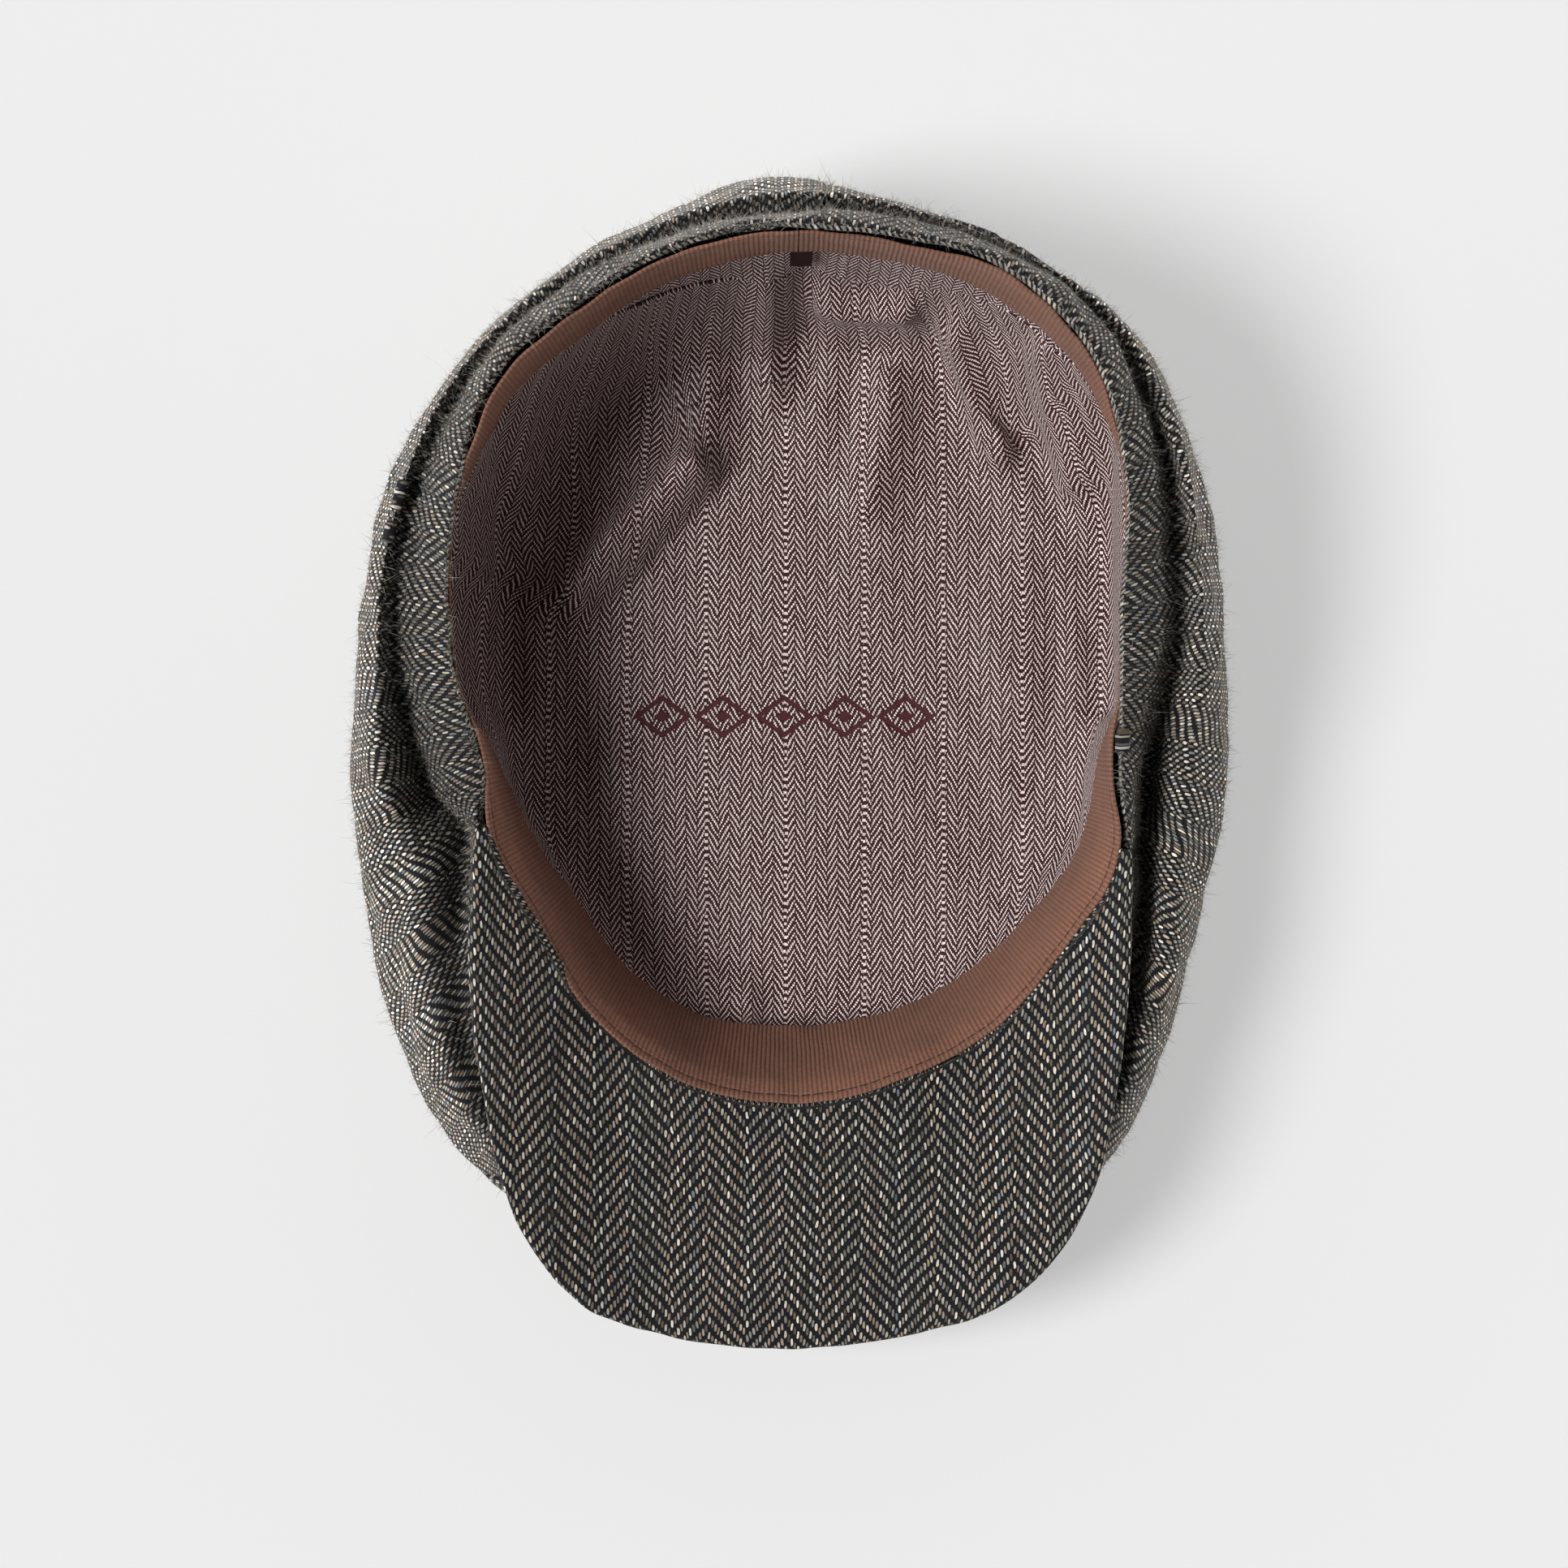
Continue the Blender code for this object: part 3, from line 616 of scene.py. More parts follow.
class Field:
    """A number that a material's nodes work out, combined with ordinary arithmetic."""

    def __init__(self, tree, socket):
        self.tree = tree
        self.socket = socket

    def math(self, operation, *others):
        node = self.tree.nodes.new("ShaderNodeMath")
        node.operation = operation
        for socket, value in zip(node.inputs, (self, *others)):
            if isinstance(value, Field):
                self.tree.links.new(value.socket, socket)
            else:
                socket.default_value = value
        return Field(self.tree, node.outputs[0])

    def __add__(self, other):
        return self.math("ADD", other)

    def __sub__(self, other):
        return self.math("SUBTRACT", other)

    def __mul__(self, other):
        return self.math("MULTIPLY", other)

    def __truediv__(self, other):
        return self.math("DIVIDE", other)

    def __abs__(self):
        return self.math("ABSOLUTE")

    def floor(self):
        return self.math("FLOOR")

    def share(self):
        return self.math("FRACT")

    def off_middle(self):
        """How far the part after the point is from one half."""
        return abs(self.share() - 0.5)

    def modulo(self, other):
        return self.math("FLOORED_MODULO", other)

    def power(self, other):
        return self.math("POWER", other)

    def step(self, low, high):
        """A smooth rise from 0 at low to 1 at high."""
        node = self.tree.nodes.new("ShaderNodeMapRange")
        node.interpolation_type = "SMOOTHSTEP"
        self.tree.links.new(self.socket, node.inputs["Value"])
        node.inputs["From Min"].default_value = low
        node.inputs["From Max"].default_value = high
        return Field(self.tree, node.outputs["Result"])

    def flipped(self):
        """One minus this."""
        return (self * -1.0) + 1.0


def blend(start, end, share):
    return start * share.flipped() + end * share


class Cloth:
    """A material under construction, with its cloth coordinates in millimetres."""

    def __init__(self, name):
        self.material = bpy.data.materials.new(name)
        self.material.use_nodes = True
        self.tree = self.material.node_tree
        self.node = self.tree.nodes.new
        self.link = self.tree.links.new
        self.shader = self.tree.nodes["Principled BSDF"]
        chart = self.node("ShaderNodeUVMap")
        chart.uv_map = "Weave"
        self.chart = chart.outputs["UV"]
        parts = self.node("ShaderNodeSeparateXYZ")
        self.link(self.chart, parts.inputs[0])
        self.u = Field(self.tree, parts.outputs[0]) * MILLIMETRE
        self.v = Field(self.tree, parts.outputs[1]) * MILLIMETRE

    def noise(self, scale, detail=2.0, stretch=(1.0, 1.0), offset=0.0):
        """Smooth noise around 0.5; the scale counts bumps in a metre of cloth."""
        place = self.node("ShaderNodeMapping")
        place.inputs["Scale"].default_value = (*stretch, 1.0)
        place.inputs["Location"].default_value = (offset, offset, 0.0)
        self.link(self.chart, place.inputs["Vector"])
        noise = self.node("ShaderNodeTexNoise")
        noise.noise_dimensions = "2D"
        noise.inputs["Scale"].default_value = scale
        noise.inputs["Detail"].default_value = detail
        self.link(place.outputs[0], noise.inputs["Vector"])
        return Field(self.tree, noise.outputs[0])

    def chance(self, *fields):
        """A random number for each pair of whole numbers."""
        joined = self.node("ShaderNodeCombineXYZ")
        for field, socket in zip(fields, joined.inputs):
            self.link(field.socket, socket)
        noise = self.node("ShaderNodeTexWhiteNoise")
        noise.noise_dimensions = "3D"
        self.link(joined.outputs[0], noise.inputs["Vector"])
        return Field(self.tree, noise.outputs["Value"])

    def ramp(self, field, stops):
        """The colour at a field's value, from (place, colour) stops."""
        node = self.node("ShaderNodeValToRGB")
        elements = node.color_ramp.elements
        while len(elements) < len(stops):
            elements.new(0.5)
        for element, (place, colour) in zip(elements, stops):
            element.position = place
            element.color = (*colour, 1.0)
        self.link(field.socket, node.inputs[0])
        return node.outputs["Color"]

    def mix(self, share, first, second, mode="MIX"):
        node = self.node("ShaderNodeMix")
        node.data_type = "RGBA"
        node.blend_type = mode
        if isinstance(share, Field):
            self.link(share.socket, node.inputs[0])
        else:
            node.inputs[0].default_value = share
        for socket, value in ((node.inputs[6], first), (node.inputs[7], second)):
            if isinstance(value, tuple):
                socket.default_value = (*value, 1.0)
            else:
                self.link(value, socket)
        return node.outputs[2]

    def grey(self, field):
        """A colour whose three parts all are the field."""
        node = self.node("ShaderNodeCombineColor")
        for socket in node.inputs:
            self.link(field.socket, socket)
        return node.outputs[0]

    def shaded(self, colour, field):
        return self.mix(1.0, colour, self.grey(field), "MULTIPLY")

    def finish(self, colour, height, depth, roughness, sheen, tint=(1.0, 1.0, 1.0), spread=0.5):
        self.link(colour, self.shader.inputs["Base Color"])
        self.shader.inputs["Roughness"].default_value = roughness
        self.shader.inputs["Specular IOR Level"].default_value = 0.25
        self.shader.inputs["Sheen Weight"].default_value = sheen
        self.shader.inputs["Sheen Roughness"].default_value = spread
        self.shader.inputs["Sheen Tint"].default_value = (*tint, 1.0)
        bump = self.node("ShaderNodeBump")
        bump.inputs["Strength"].default_value = 1.0
        bump.inputs["Distance"].default_value = depth
        self.link(height.socket, bump.inputs["Height"])
        self.link(bump.outputs[0], self.shader.inputs["Normal"])
        return self.material


# Tweed: a 2/2 twill herringbone of light lengthwise yarns over dark crosswise ones

WARP_PITCH = 0.77
WEFT_PITCH = 0.93
COLUMN_YARNS = 12
YARN_REACH = 0.46
DASH_REACH = 1.12
LOOP_PITCH = 1.7
LOOP_REACH = 1.0
# Painted light and shade on the side panels: the strip by the opening, up to BULGE_FROM in millimetres
# along the cloth, is painted darker and the bulge past it lighter
BULGE_FROM = (22.0, 34.0)
BULGE_PAINTED_LIGHT = 1.40
STRIP_PAINTED_SHADE = 0.70
CREAM_STOPS = (
    (0.00, (0.84, 0.77, 0.68)),
    (0.30, (0.58, 0.525, 0.45)),
    (0.50, (0.35, 0.33, 0.305)),
    (0.62, (0.34, 0.225, 0.15)),
    (0.74, (0.225, 0.185, 0.12)),
    (0.86, (0.165, 0.165, 0.135)),
    (1.00, (0.19, 0.215, 0.27)),
)
TWEED_DARK = (0.0068, 0.0074, 0.0098)
TWEED_HAZE = (0.090, 0.086, 0.078)


def tweed_material(name, rolled_edge, sheen, depth, tone):
    """The weave; with a rolled edge, large slanted loops run along the cloth's first edge, and its
    strip gets painted shade and its bulge painted light.
    """
    cloth = Cloth(name)
    sway = (cloth.noise(90.0) - 0.5) * 0.9
    jitter = (cloth.noise(420.0, offset=3.0) - 0.5) * 0.5
    u = cloth.u + sway + jitter
    v = cloth.v + (cloth.noise(90.0, offset=7.0) - 0.5) * 0.9
    lengthwise = u / WARP_PITCH
    yarn = lengthwise.floor()
    column = (yarn / COLUMN_YARNS).floor()
    local = yarn - column * COLUMN_YARNS
    turned = column.modulo(2.0)
    back = local * -1.0 + (COLUMN_YARNS + 1.0)
    stair = blend(local, back, turned)
    climb = v / WEFT_PITCH + stair
    phase = climb.modulo(4.0)
    along = phase - 1.0
    lean = turned * -2.0 + 1.0
    across = lengthwise.share() - 0.5 - along * lean * 0.10
    width = abs(across / YARN_REACH).power(2.2)
    reach = abs(along / DASH_REACH).power(3.2)
    body = (width + reach).flipped()
    dash = body.step(0.05, 0.42)
    number = (climb / 4.0).floor()
    of_yarn = cloth.chance(yarn, column)
    of_dash = cloth.chance(yarn, number)
    pick = yarn.modulo(2.0) * 0.46 + of_yarn * 0.40 + of_dash * 0.14
    if rolled_edge:
        slant = u / LOOP_PITCH + cloth.v * 0.32
        loop = slant.off_middle() * 2.0
        loops = loop.step(0.42, 0.75).flipped()
        at_edge = abs(cloth.v - 0.4).step(LOOP_REACH * 0.7, LOOP_REACH).flipped()
        dash = blend(dash, loops, at_edge)
        body = blend(body, loop.flipped(), at_edge)
        pick = blend(pick, cloth.chance(slant.floor(), column) * 0.55, at_edge)
    light = cloth.ramp(pick, CREAM_STOPS)
    fibre = cloth.noise(2600.0, 3.0, stretch=(1.0, 0.45))
    # Each dash's tone differs at random with its yarn and fibres, and it is also painted darker towards
    # its edges, painted shade of the round yarn
    shade = (of_dash * 1.00 + 0.34) * (fibre * 0.9 + 0.50) * (body.step(0.0, 0.9) * 0.45 + 0.55)
    # tone is painted shade: it darkens a whole copy of the same tweed
    shade = shade * tone
    # With a rolled edge, the strip is painted darker (painted shade) and the bulge lighter (painted
    # light)
    if rolled_edge:
        shade = shade * (cloth.v.step(*BULGE_FROM) * (BULGE_PAINTED_LIGHT - STRIP_PAINTED_SHADE) + STRIP_PAINTED_SHADE)
    light = cloth.shaded(light, shade)
    weft = (v / WEFT_PITCH).off_middle() * 2.0
    dark = cloth.mix(fibre.step(0.50, 0.80) * 0.10, TWEED_DARK, TWEED_HAZE)
    colour = cloth.mix(dash, dark, light)
    worn = cloth.noise(55.0, 3.0, offset=11.0).step(0.45, 0.75) * 0.04
    colour = cloth.mix(worn, colour, TWEED_HAZE)
    height = dash * 0.75 + (weft.flipped() * 0.22) * dash.flipped() + fibre * 0.22
    return cloth.finish(colour, height, depth, 0.95, sheen, (0.92, 0.89, 0.86), 0.25)


# Lining: fine herringbone of cream on burgundy, with broken stripes along it

LINING_CLIMB = 2.04
LINING_RUN = 1.24
LINING_COLUMN = 2.68
LINING_YARN = 0.335
STRIPE_PITCH = 19.5
STRIPE_WIDTH = 0.75
BREAK_PITCH = 1.7
BURGUNDY = (0.034, 0.0066, 0.0082)
CREAM = (0.95, 0.80, 0.77)
SILK = (0.075, 0.014, 0.017)
LOZENGES = 5
LOZENGE_WIDTH = 15.0
LOZENGE_HEIGHT = 11.0
LOZENGE_PLACE = -11.0


def lining_material(name, embroidered):
    cloth = Cloth(name)
    u = cloth.u + (cloth.noise(60.0) - 0.5) * 0.9 + (cloth.noise(500.0) - 0.5) * 0.7
    v = cloth.v + (cloth.noise(60.0, offset=5.0) - 0.5) * 0.9
    in_repeat = u.modulo(STRIPE_PITCH)
    bare = in_repeat.step(STRIPE_WIDTH - 0.1, STRIPE_WIDTH)
    column = (u / LINING_COLUMN).floor()
    turned = column.modulo(2.0)
    local = u - column * LINING_COLUMN
    stair = (local / LINING_YARN).floor() * (LINING_YARN / LINING_RUN)
    lean = turned * 2.0 - 1.0
    climb = v / LINING_CLIMB + stair * lean + turned * 0.5
    bar = cloth.chance(column, climb.floor())
    line = climb.off_middle() * 2.0 + bar * 0.16
    ends = abs(local / LINING_COLUMN - 0.5).step(0.41, 0.49)
    stroke = line.step(0.29, 0.45).flipped() * (ends * -0.8 + 1.0)
    broken = (v / BREAK_PITCH).off_middle().step(0.16, 0.26).flipped() * 0.85
    stroke = blend(broken, stroke, bare)
    thread = cloth.noise(1900.0, 2.0, stretch=(1.0, 0.5))
    tone = thread * 0.8 + bar * 0.5 + 0.45
    light = cloth.shaded(CREAM, tone)
    dark = cloth.shaded(BURGUNDY, thread * 1.2 + 0.45)
    colour = cloth.mix(stroke * 0.95, dark, light)
    height = stroke * 0.7 + thread * 0.3
    if embroidered:
        colour, height = embroider(cloth, colour, height)
    return cloth.finish(colour, height, 0.00015, 0.62, 0.06)


def embroider(cloth, colour, height):
    """A short row of satin-stitched lozenges, sewn in the cloth's dark colour."""
    half = LOZENGES * LOZENGE_WIDTH / 2
    across = ((cloth.u + half) / LOZENGE_WIDTH).off_middle() * 2.0
    upward = abs((cloth.v - LOZENGE_PLACE) / (LOZENGE_HEIGHT / 2))
    size = across + upward
    outline = abs(size - 0.84).step(0.11, 0.15).flipped()
    core = size.step(0.26, 0.32).flipped()
    within = abs(cloth.u).step(half - 0.1, half).flipped()
    sewn = outline.math("MAXIMUM", core) * within
    stitch = (cloth.u * 0.55 + cloth.v * 1.5).off_middle() * 2.0
    silk = cloth.shaded(SILK, stitch * 0.8 + 0.55)
    raised = stitch * 0.5 + 1.6
    return cloth.mix(sewn, colour, silk), blend(height, raised, sewn)


# Sweatband: grosgrain, with its ribs across the ribbon

RIB_PITCH = 1.2
WEFT_OF_RIBBON = 0.42
STITCH_PITCH = 2.9
STITCH_PLACE = 1.7
STITCH = (0.022, 0.009, 0.008)
RIBBON = (0.252, 0.115, 0.075)


def grosgrain_material():
    cloth = Cloth("sweatband_grosgrain")
    u = cloth.u + (cloth.noise(80.0) - 0.5) * 0.5
    rib = (u / RIB_PITCH).off_middle() * 2.0
    ridge = rib.power(1.6).flipped()
    weft = (cloth.v / WEFT_OF_RIBBON).off_middle() * 2.0
    thread = cloth.noise(1500.0, 3.0, stretch=(0.5, 1.0))
    soft = cloth.noise(35.0, 3.0, offset=2.0)
    # The ribs' tops are painted lighter and their grooves darker, painted shade of the ribs; the weft
    # lines, thread and soft noise are the ribbon's own uneven tone
    tone = ridge * 0.42 + weft * 0.12 + thread * 0.50 + soft * 0.50 - 0.06
    colour = cloth.shaded(RIBBON, tone)
    place = cloth.v + (cloth.noise(120.0, offset=9.0) - 0.5) * 0.35
    line = abs(place - STITCH_PLACE).step(0.14, 0.26).flipped()
    dash = (u / STITCH_PITCH).off_middle().step(0.36, 0.42).flipped()
    pulled = abs(place - STITCH_PLACE).step(0.1, 0.9).flipped()
    colour = cloth.mix(line * dash * 0.85, colour, STITCH)
    height = ridge * 0.8 + thread * 0.2 - pulled * 0.9
    return cloth.finish(colour, height, 0.00024, 0.78, 0.15, (0.8, 0.6, 0.5))


def plain_material(name, colour, roughness, grain):
    cloth = Cloth(name)
    thread = cloth.noise(grain, 3.0)
    shaded = cloth.shaded(colour, thread * 0.9 + 0.55)
    return cloth.finish(shaded, thread, 0.0001, roughness, 0.0)


# The pieces

AROUND_STEP = 0.75
ALL_ANGLES = np.arange(-180.0, 180.0, AROUND_STEP)
EDGE_TURNS = (0.0, 0.12, 0.28, 0.5)


def close_angles(start, end, step=AROUND_STEP):
    """Angles from start to end, with more of them by both ends."""
    inner = [start + turn for turn in EDGE_TURNS] + [end - turn for turn in EDGE_TURNS]
    count = int((end - start) / step)
    middle = [start + (end - start) * index / count for index in range(1, count)]
    middle = [angle for angle in middle if start + 0.6 < angle < end - 0.6]
    return sorted(inner + middle)


def dense_places(start, end, knots):
    """Places along a section: (up to, step) pairs set how close they lie."""
    found = [start]
    for limit, step in knots:
        while found[-1] + 1.4 * step < min(limit, end):
            found.append(found[-1] + step)
    return found


def even_rows(rows, count):
    """The same number of places in each row, spread as evenly as each row is."""
    spots = np.linspace(0.0, 1.0, count)
    return [np.interp(spots, np.linspace(0, 1, len(row)), row) for row in rows]


# Soft dents of each cloth: depth in metres, seed, and the share of each bump size in metres
DENTS = {
    "tweed": (0.0009, 11, ((0.045, 0.55), (0.020, 0.45), (0.008, 0.22))),
    "peak": (0.00035, 41, ((0.030, 0.6), (0.012, 0.4))),
    "ribbon": (0.00035, 71, ((0.030, 0.6), (0.010, 0.4))),
    "lining": (0.0008, 91, ((0.050, 0.6), (0.022, 0.4), (0.009, 0.12))),
}

# Lines from one place on the table's plane to another, in millimetres
CREASE_COLUMNS = ("from_x", "from_y", "to_x", "to_y", "reach", "rise")


def soften(points, normals, cloth):
    depth, seed, sizes = DENTS[cloth]
    relief = np.zeros(points.shape[:-1])
    for index, (size, share) in enumerate(sizes):
        relief += share * waves(points, size, 9, seed + index)
    return points + steady(normals) * (relief * depth)[..., None]


def crease(points, behind, folds):
    """Raises folds of the cloth along lines, away from the side that is behind it."""
    plane = points[..., :2]
    lift = np.zeros(plane.shape[:2])
    for row in folds:
        fold = {name: size / MILLIMETRE for name, size in zip(CREASE_COLUMNS, row)}
        start = np.array([fold["from_x"], fold["from_y"]])
        run = np.array([fold["to_x"], fold["to_y"]]) - start
        share = np.clip((plane - start) @ run / (run @ run), 0.0, 1.0)
        gap = np.linalg.norm(plane - start - share[..., None] * run, axis=-1)
        lift += fold["rise"] * np.exp(-((gap / fold["reach"]) ** 2))
    return points - behind * lift[..., None]


def fan_chart(points, along, reference):
    """Cloth coordinates whose columns lead across the strip, off the opening's edge."""
    around = lengths_along(points[None, :, reference])[0]
    return np.stack([np.repeat(around[:, None], along.shape[1], axis=1), along], axis=-1)


def strip(name, points, thickness, hidden_step, reference, material):
    """A closed sheet of cloth along the opening, with its chart measured at one of its lines."""
    loops, along = cloth_body(points, grid_normals(points), thickness, hidden_step)
    return loft(name, loops, fan_chart(points, along, reference), material)


def flat_chart(points):
    """Cloth coordinates of a round panel, unrolled from the opening's middle."""
    turns = np.radians(ALL_ANGLES)[:, None]
    along = lengths_along(points)
    middle = np.linalg.norm(points[:, -1, :2] - np.array(CENTRE), axis=1)[:, None]
    out = along[:, -1:] - along + middle
    return np.stack([out * np.sin(turns), out * np.cos(turns)], axis=-1)


def roll_ends(points, normals, depth, radius):
    """Turns the first and last stations of a panel down along its seams."""
    around = lengths_along(points[None, :, 10])[0]
    near = np.minimum(around, around[-1] - around)
    bend = np.clip(1 - near / radius, 0.0, 1.0)
    drop = depth * (1 - np.sqrt(1 - bend**2))
    return points - normals * drop[:, None, None]


SEAM_DROP = 0.0007
SEAM_ROLL = 0.0010
SIDE_KNOTS = ((1.0, 0.09), (2.0, 0.10), (3.6, 0.055), (8.0, 0.07))


def tweed_side(name, start, end, material):
    angles = close_angles(start, end)
    rows = [dense_places(0.0, side_seam(angle), SIDE_KNOTS) + [side_seam(angle)] for angle in angles]
    places = even_rows(rows, 84)
    points = sweep(tweed_section, angles, places)
    normals = grid_normals(points)
    points = soften(points, normals, "tweed")
    points = roll_ends(points, normals, SEAM_DROP, SEAM_ROLL)
    return strip(name, points, TWEED, 3, 60, material), points, grid_normals(points)


TOP_KNOTS = ((3.6, 0.08), (7.0, 0.10), (7.9, 0.05))


def tweed_top(name, material):
    rows = []
    for angle in ALL_ANGLES:
        start = 0.0
        if abs(wrapped(angle)) <= SIDE_PANEL_END:
            start = side_seam(angle) + 0.13
        rows.append(dense_places(start, FOOT + 0.97, TOP_KNOTS) + [FOOT + 0.98])
    points = sweep(tweed_section, ALL_ANGLES, even_rows(rows, 72))
    normals = grid_normals(points, True)
    lifted = np.clip(points[..., 2:] / 0.008, 0.0, 1.0)
    dented = soften(points, normals, "tweed")
    points = points + (dented - points) * lifted
    normals = grid_normals(points, True)
    piece = disc(name, points, normals, TWEED, 3, flat_chart(points), material)
    return piece, points, normals


PEAK_CREASES = (
    (-74, -50, -64, -112, 16, 4),
    (-44, -66, -34, -128, 15, -3.4),
    (40, -80, 30, -120, 12, -1.4),
)


def peak_loop(angle):
    """The peak's cross-section once round, and each point's distance from the opening."""
    inner = rim_radius(angle) + 0.0003
    outer = peak_radius(angle)
    width = outer - inner
    thickness = peak_thickness(angle)
    half = min(thickness / 2, width / 2.2)
    shares = np.linspace(0.0, 1.0, 46)
    upper = inner + half + (width - 2 * half) * shares
    lower = upper[::-3]
    noses = np.radians(np.arange(75.0, -76.0, -15.0))
    tops = [peak_top(angle, (radius - inner) / width) for radius in upper]
    lows = [peak_top(angle, (radius - inner) / width) - thickness for radius in lower]
    rise = thickness / 2
    end = tops[-1] - rise
    start = tops[0] - rise
    rounded = [(outer - half + half * cos(n), end + rise * sin(n)) for n in noses]
    hidden = [(inner + half - half * cos(n), start + rise * sin(n)) for n in noses[::-1]]
    return np.array(list(zip(upper, tops)) + rounded + list(zip(lower, lows)) + hidden)


def peak_piece(name, material):
    start = 180.0 - PEAK_HALF_ANGLE
    angles = close_angles(start, start + 2 * PEAK_HALF_ANGLE, 0.6)
    rows = []
    chart = []
    for angle in angles:
        loop = peak_loop(angle)
        rows.append(ring_points(angle, loop[:, 0], loop[:, 1]))
        along = loop[0, 0] + lengths_along(loop[None])[0]
        chart.append(np.stack(plan(angle, along), axis=1))
    points = np.array(rows)
    normals = grid_normals(points)
    points = soften(points, normals, "peak")
    points = crease(points, np.array([0.0, 0.0, -1.0]), PEAK_CREASES)
    piece = loft(name, points, np.array(chart), material)
    return piece, points, normals


BAND_EDGE = 0.7
LIP_REACH = 0.0026
LIP_RISE = 0.0009
LIP_SHARE = 0.12
LIP_TURN = (108.0, 122.0)


def band_lip(angles, shares):
    """How far the ribbon's upper edge lies out over the peak's inner edge at the front."""
    front = np.array([smooth_step(*LIP_TURN, abs(wrapped(angle))) for angle in angles])
    near = np.clip(1 - shares / LIP_SHARE, 0.0, 1.0)[None] * front[:, None]
    turns = np.radians(angles)[:, None]
    out = near * LIP_REACH
    return np.stack([out * np.sin(turns), out * np.cos(turns), near * LIP_RISE], axis=-1)


def sweatband_piece(name, material):
    start = BAND_JOINT_ANGLE + 0.05
    angles = close_angles(start, start + 359.9)
    shares = np.concatenate([np.linspace(0.0, LIP_SHARE, 8)[:-1], np.linspace(LIP_SHARE, 1.0, 24)])
    rows = [ring_points(angle, *mix_point(*band_section(angle), shares)) for angle in angles]
    points = np.array(rows)
    normals = grid_normals(points)
    points = soften(points, normals, "ribbon")
    points += band_lip(angles, shares)
    return strip(name, points, -BAND_THICKNESS * BAND_EDGE, 3, 0, material)


LINING_CREASES = (
    (-20, 98, -23, 74, 7, 4.5),
    (-24, 73, -53, 44, 6.2, 8),
    (-15, 69, -43, 39, 4.5, -3),
    (-70, 86, -68, 15, 3.5, -2),
    (42, 106, 52, 78, 3.6, 5),
    (34, 104, 44, 78, 3.2, -2.2),
    (25, 96, 20, 66, 5, 3.4),
    (8, 113, 29, 112, 3, 4.4),
    (5, 117, 4.5, 99, 4.2, -3),
    (-6, 116, -4, 92, 4.5, 3.8),
    (62, 100, 70, 70, 3.6, 3),
    (75.5, 86, 76.5, 15, 3, -3.5),
    (-10, -56, -9.5, -64, 3, 1.6),
)


def lining_side_piece(name, material):
    angles = close_angles(SIDE_LINING_START, SIDE_LINING_END)
    rows = [np.linspace(0.0, AROUND.at("seam", wrapped(angle)), 40) for angle in angles]
    points = sweep(lining_section, angles, rows)
    points = crease(points, grid_normals(points), LINING_CREASES)
    return strip(name, points, -LINING, 4, 20, material)


def lining_top_piece(name, material):
    over_floor = CORNER + np.linspace(0.02, 0.985, 60)
    rows = []
    for angle in ALL_ANGLES:
        start = 0.0
        if SIDE_LINING_START <= angle <= SIDE_LINING_END:
            start = AROUND.at("seam", wrapped(angle)) + 0.05
        rows.append(np.concatenate([np.linspace(start, CORNER, 60), over_floor]))
    points = sweep(lining_section, ALL_ANGLES, rows)
    flat = np.array(rows) > CORNER
    spots = points[flat][:, :2] - CENTRE
    points[flat, 2] = [floor_height(x, y) for x, y in spots]
    normals = grid_normals(points, True)
    points = soften(points, normals, "lining")
    points = crease(points, normals, LINING_CREASES)
    points[..., 2] = np.maximum(points[..., 2], TWEED + GAP + LINING + 0.0002)
    normals = grid_normals(points, True)
    return disc(name, points, normals, -LINING, 4, flat_chart(points), material)


def tab_piece(name, material):
    half = degrees(TAB_WIDTH / 2 / rim_radius(TAB_ANGLE))
    angles = np.linspace(TAB_ANGLE - half, TAB_ANGLE + half, 12)
    rows = []
    for angle in angles:
        low = band_section(angle)[1]
        section = lining_section(angle)
        run = dist(section[1], section[2])
        places = 1.0 + (GAP + np.linspace(-0.1, 1.0, 16) * TAB_LENGTH) / run
        path = path_points(section, places)
        radius = path[:, 0] - CLOTH_GAP - TAB_THICKNESS
        height = np.minimum(path[:, 1], low[1] - GAP)
        rows.append(ring_points(angle, radius, height))
    points = np.array(rows)
    return strip(name, points, -TAB_THICKNESS, 2, 0, material)


# Loose fibres that stand off the tweed

FUZZ_COUNT = 60000
FUZZ_KEPT = 31000
FUZZ_ON_TOP = 0.22
FUZZ_TOP_PLACES = 34
FUZZ_LENGTH = 0.00045
FUZZ_SHORTEST = 0.0004
FUZZ_WIDTH = 0.000045


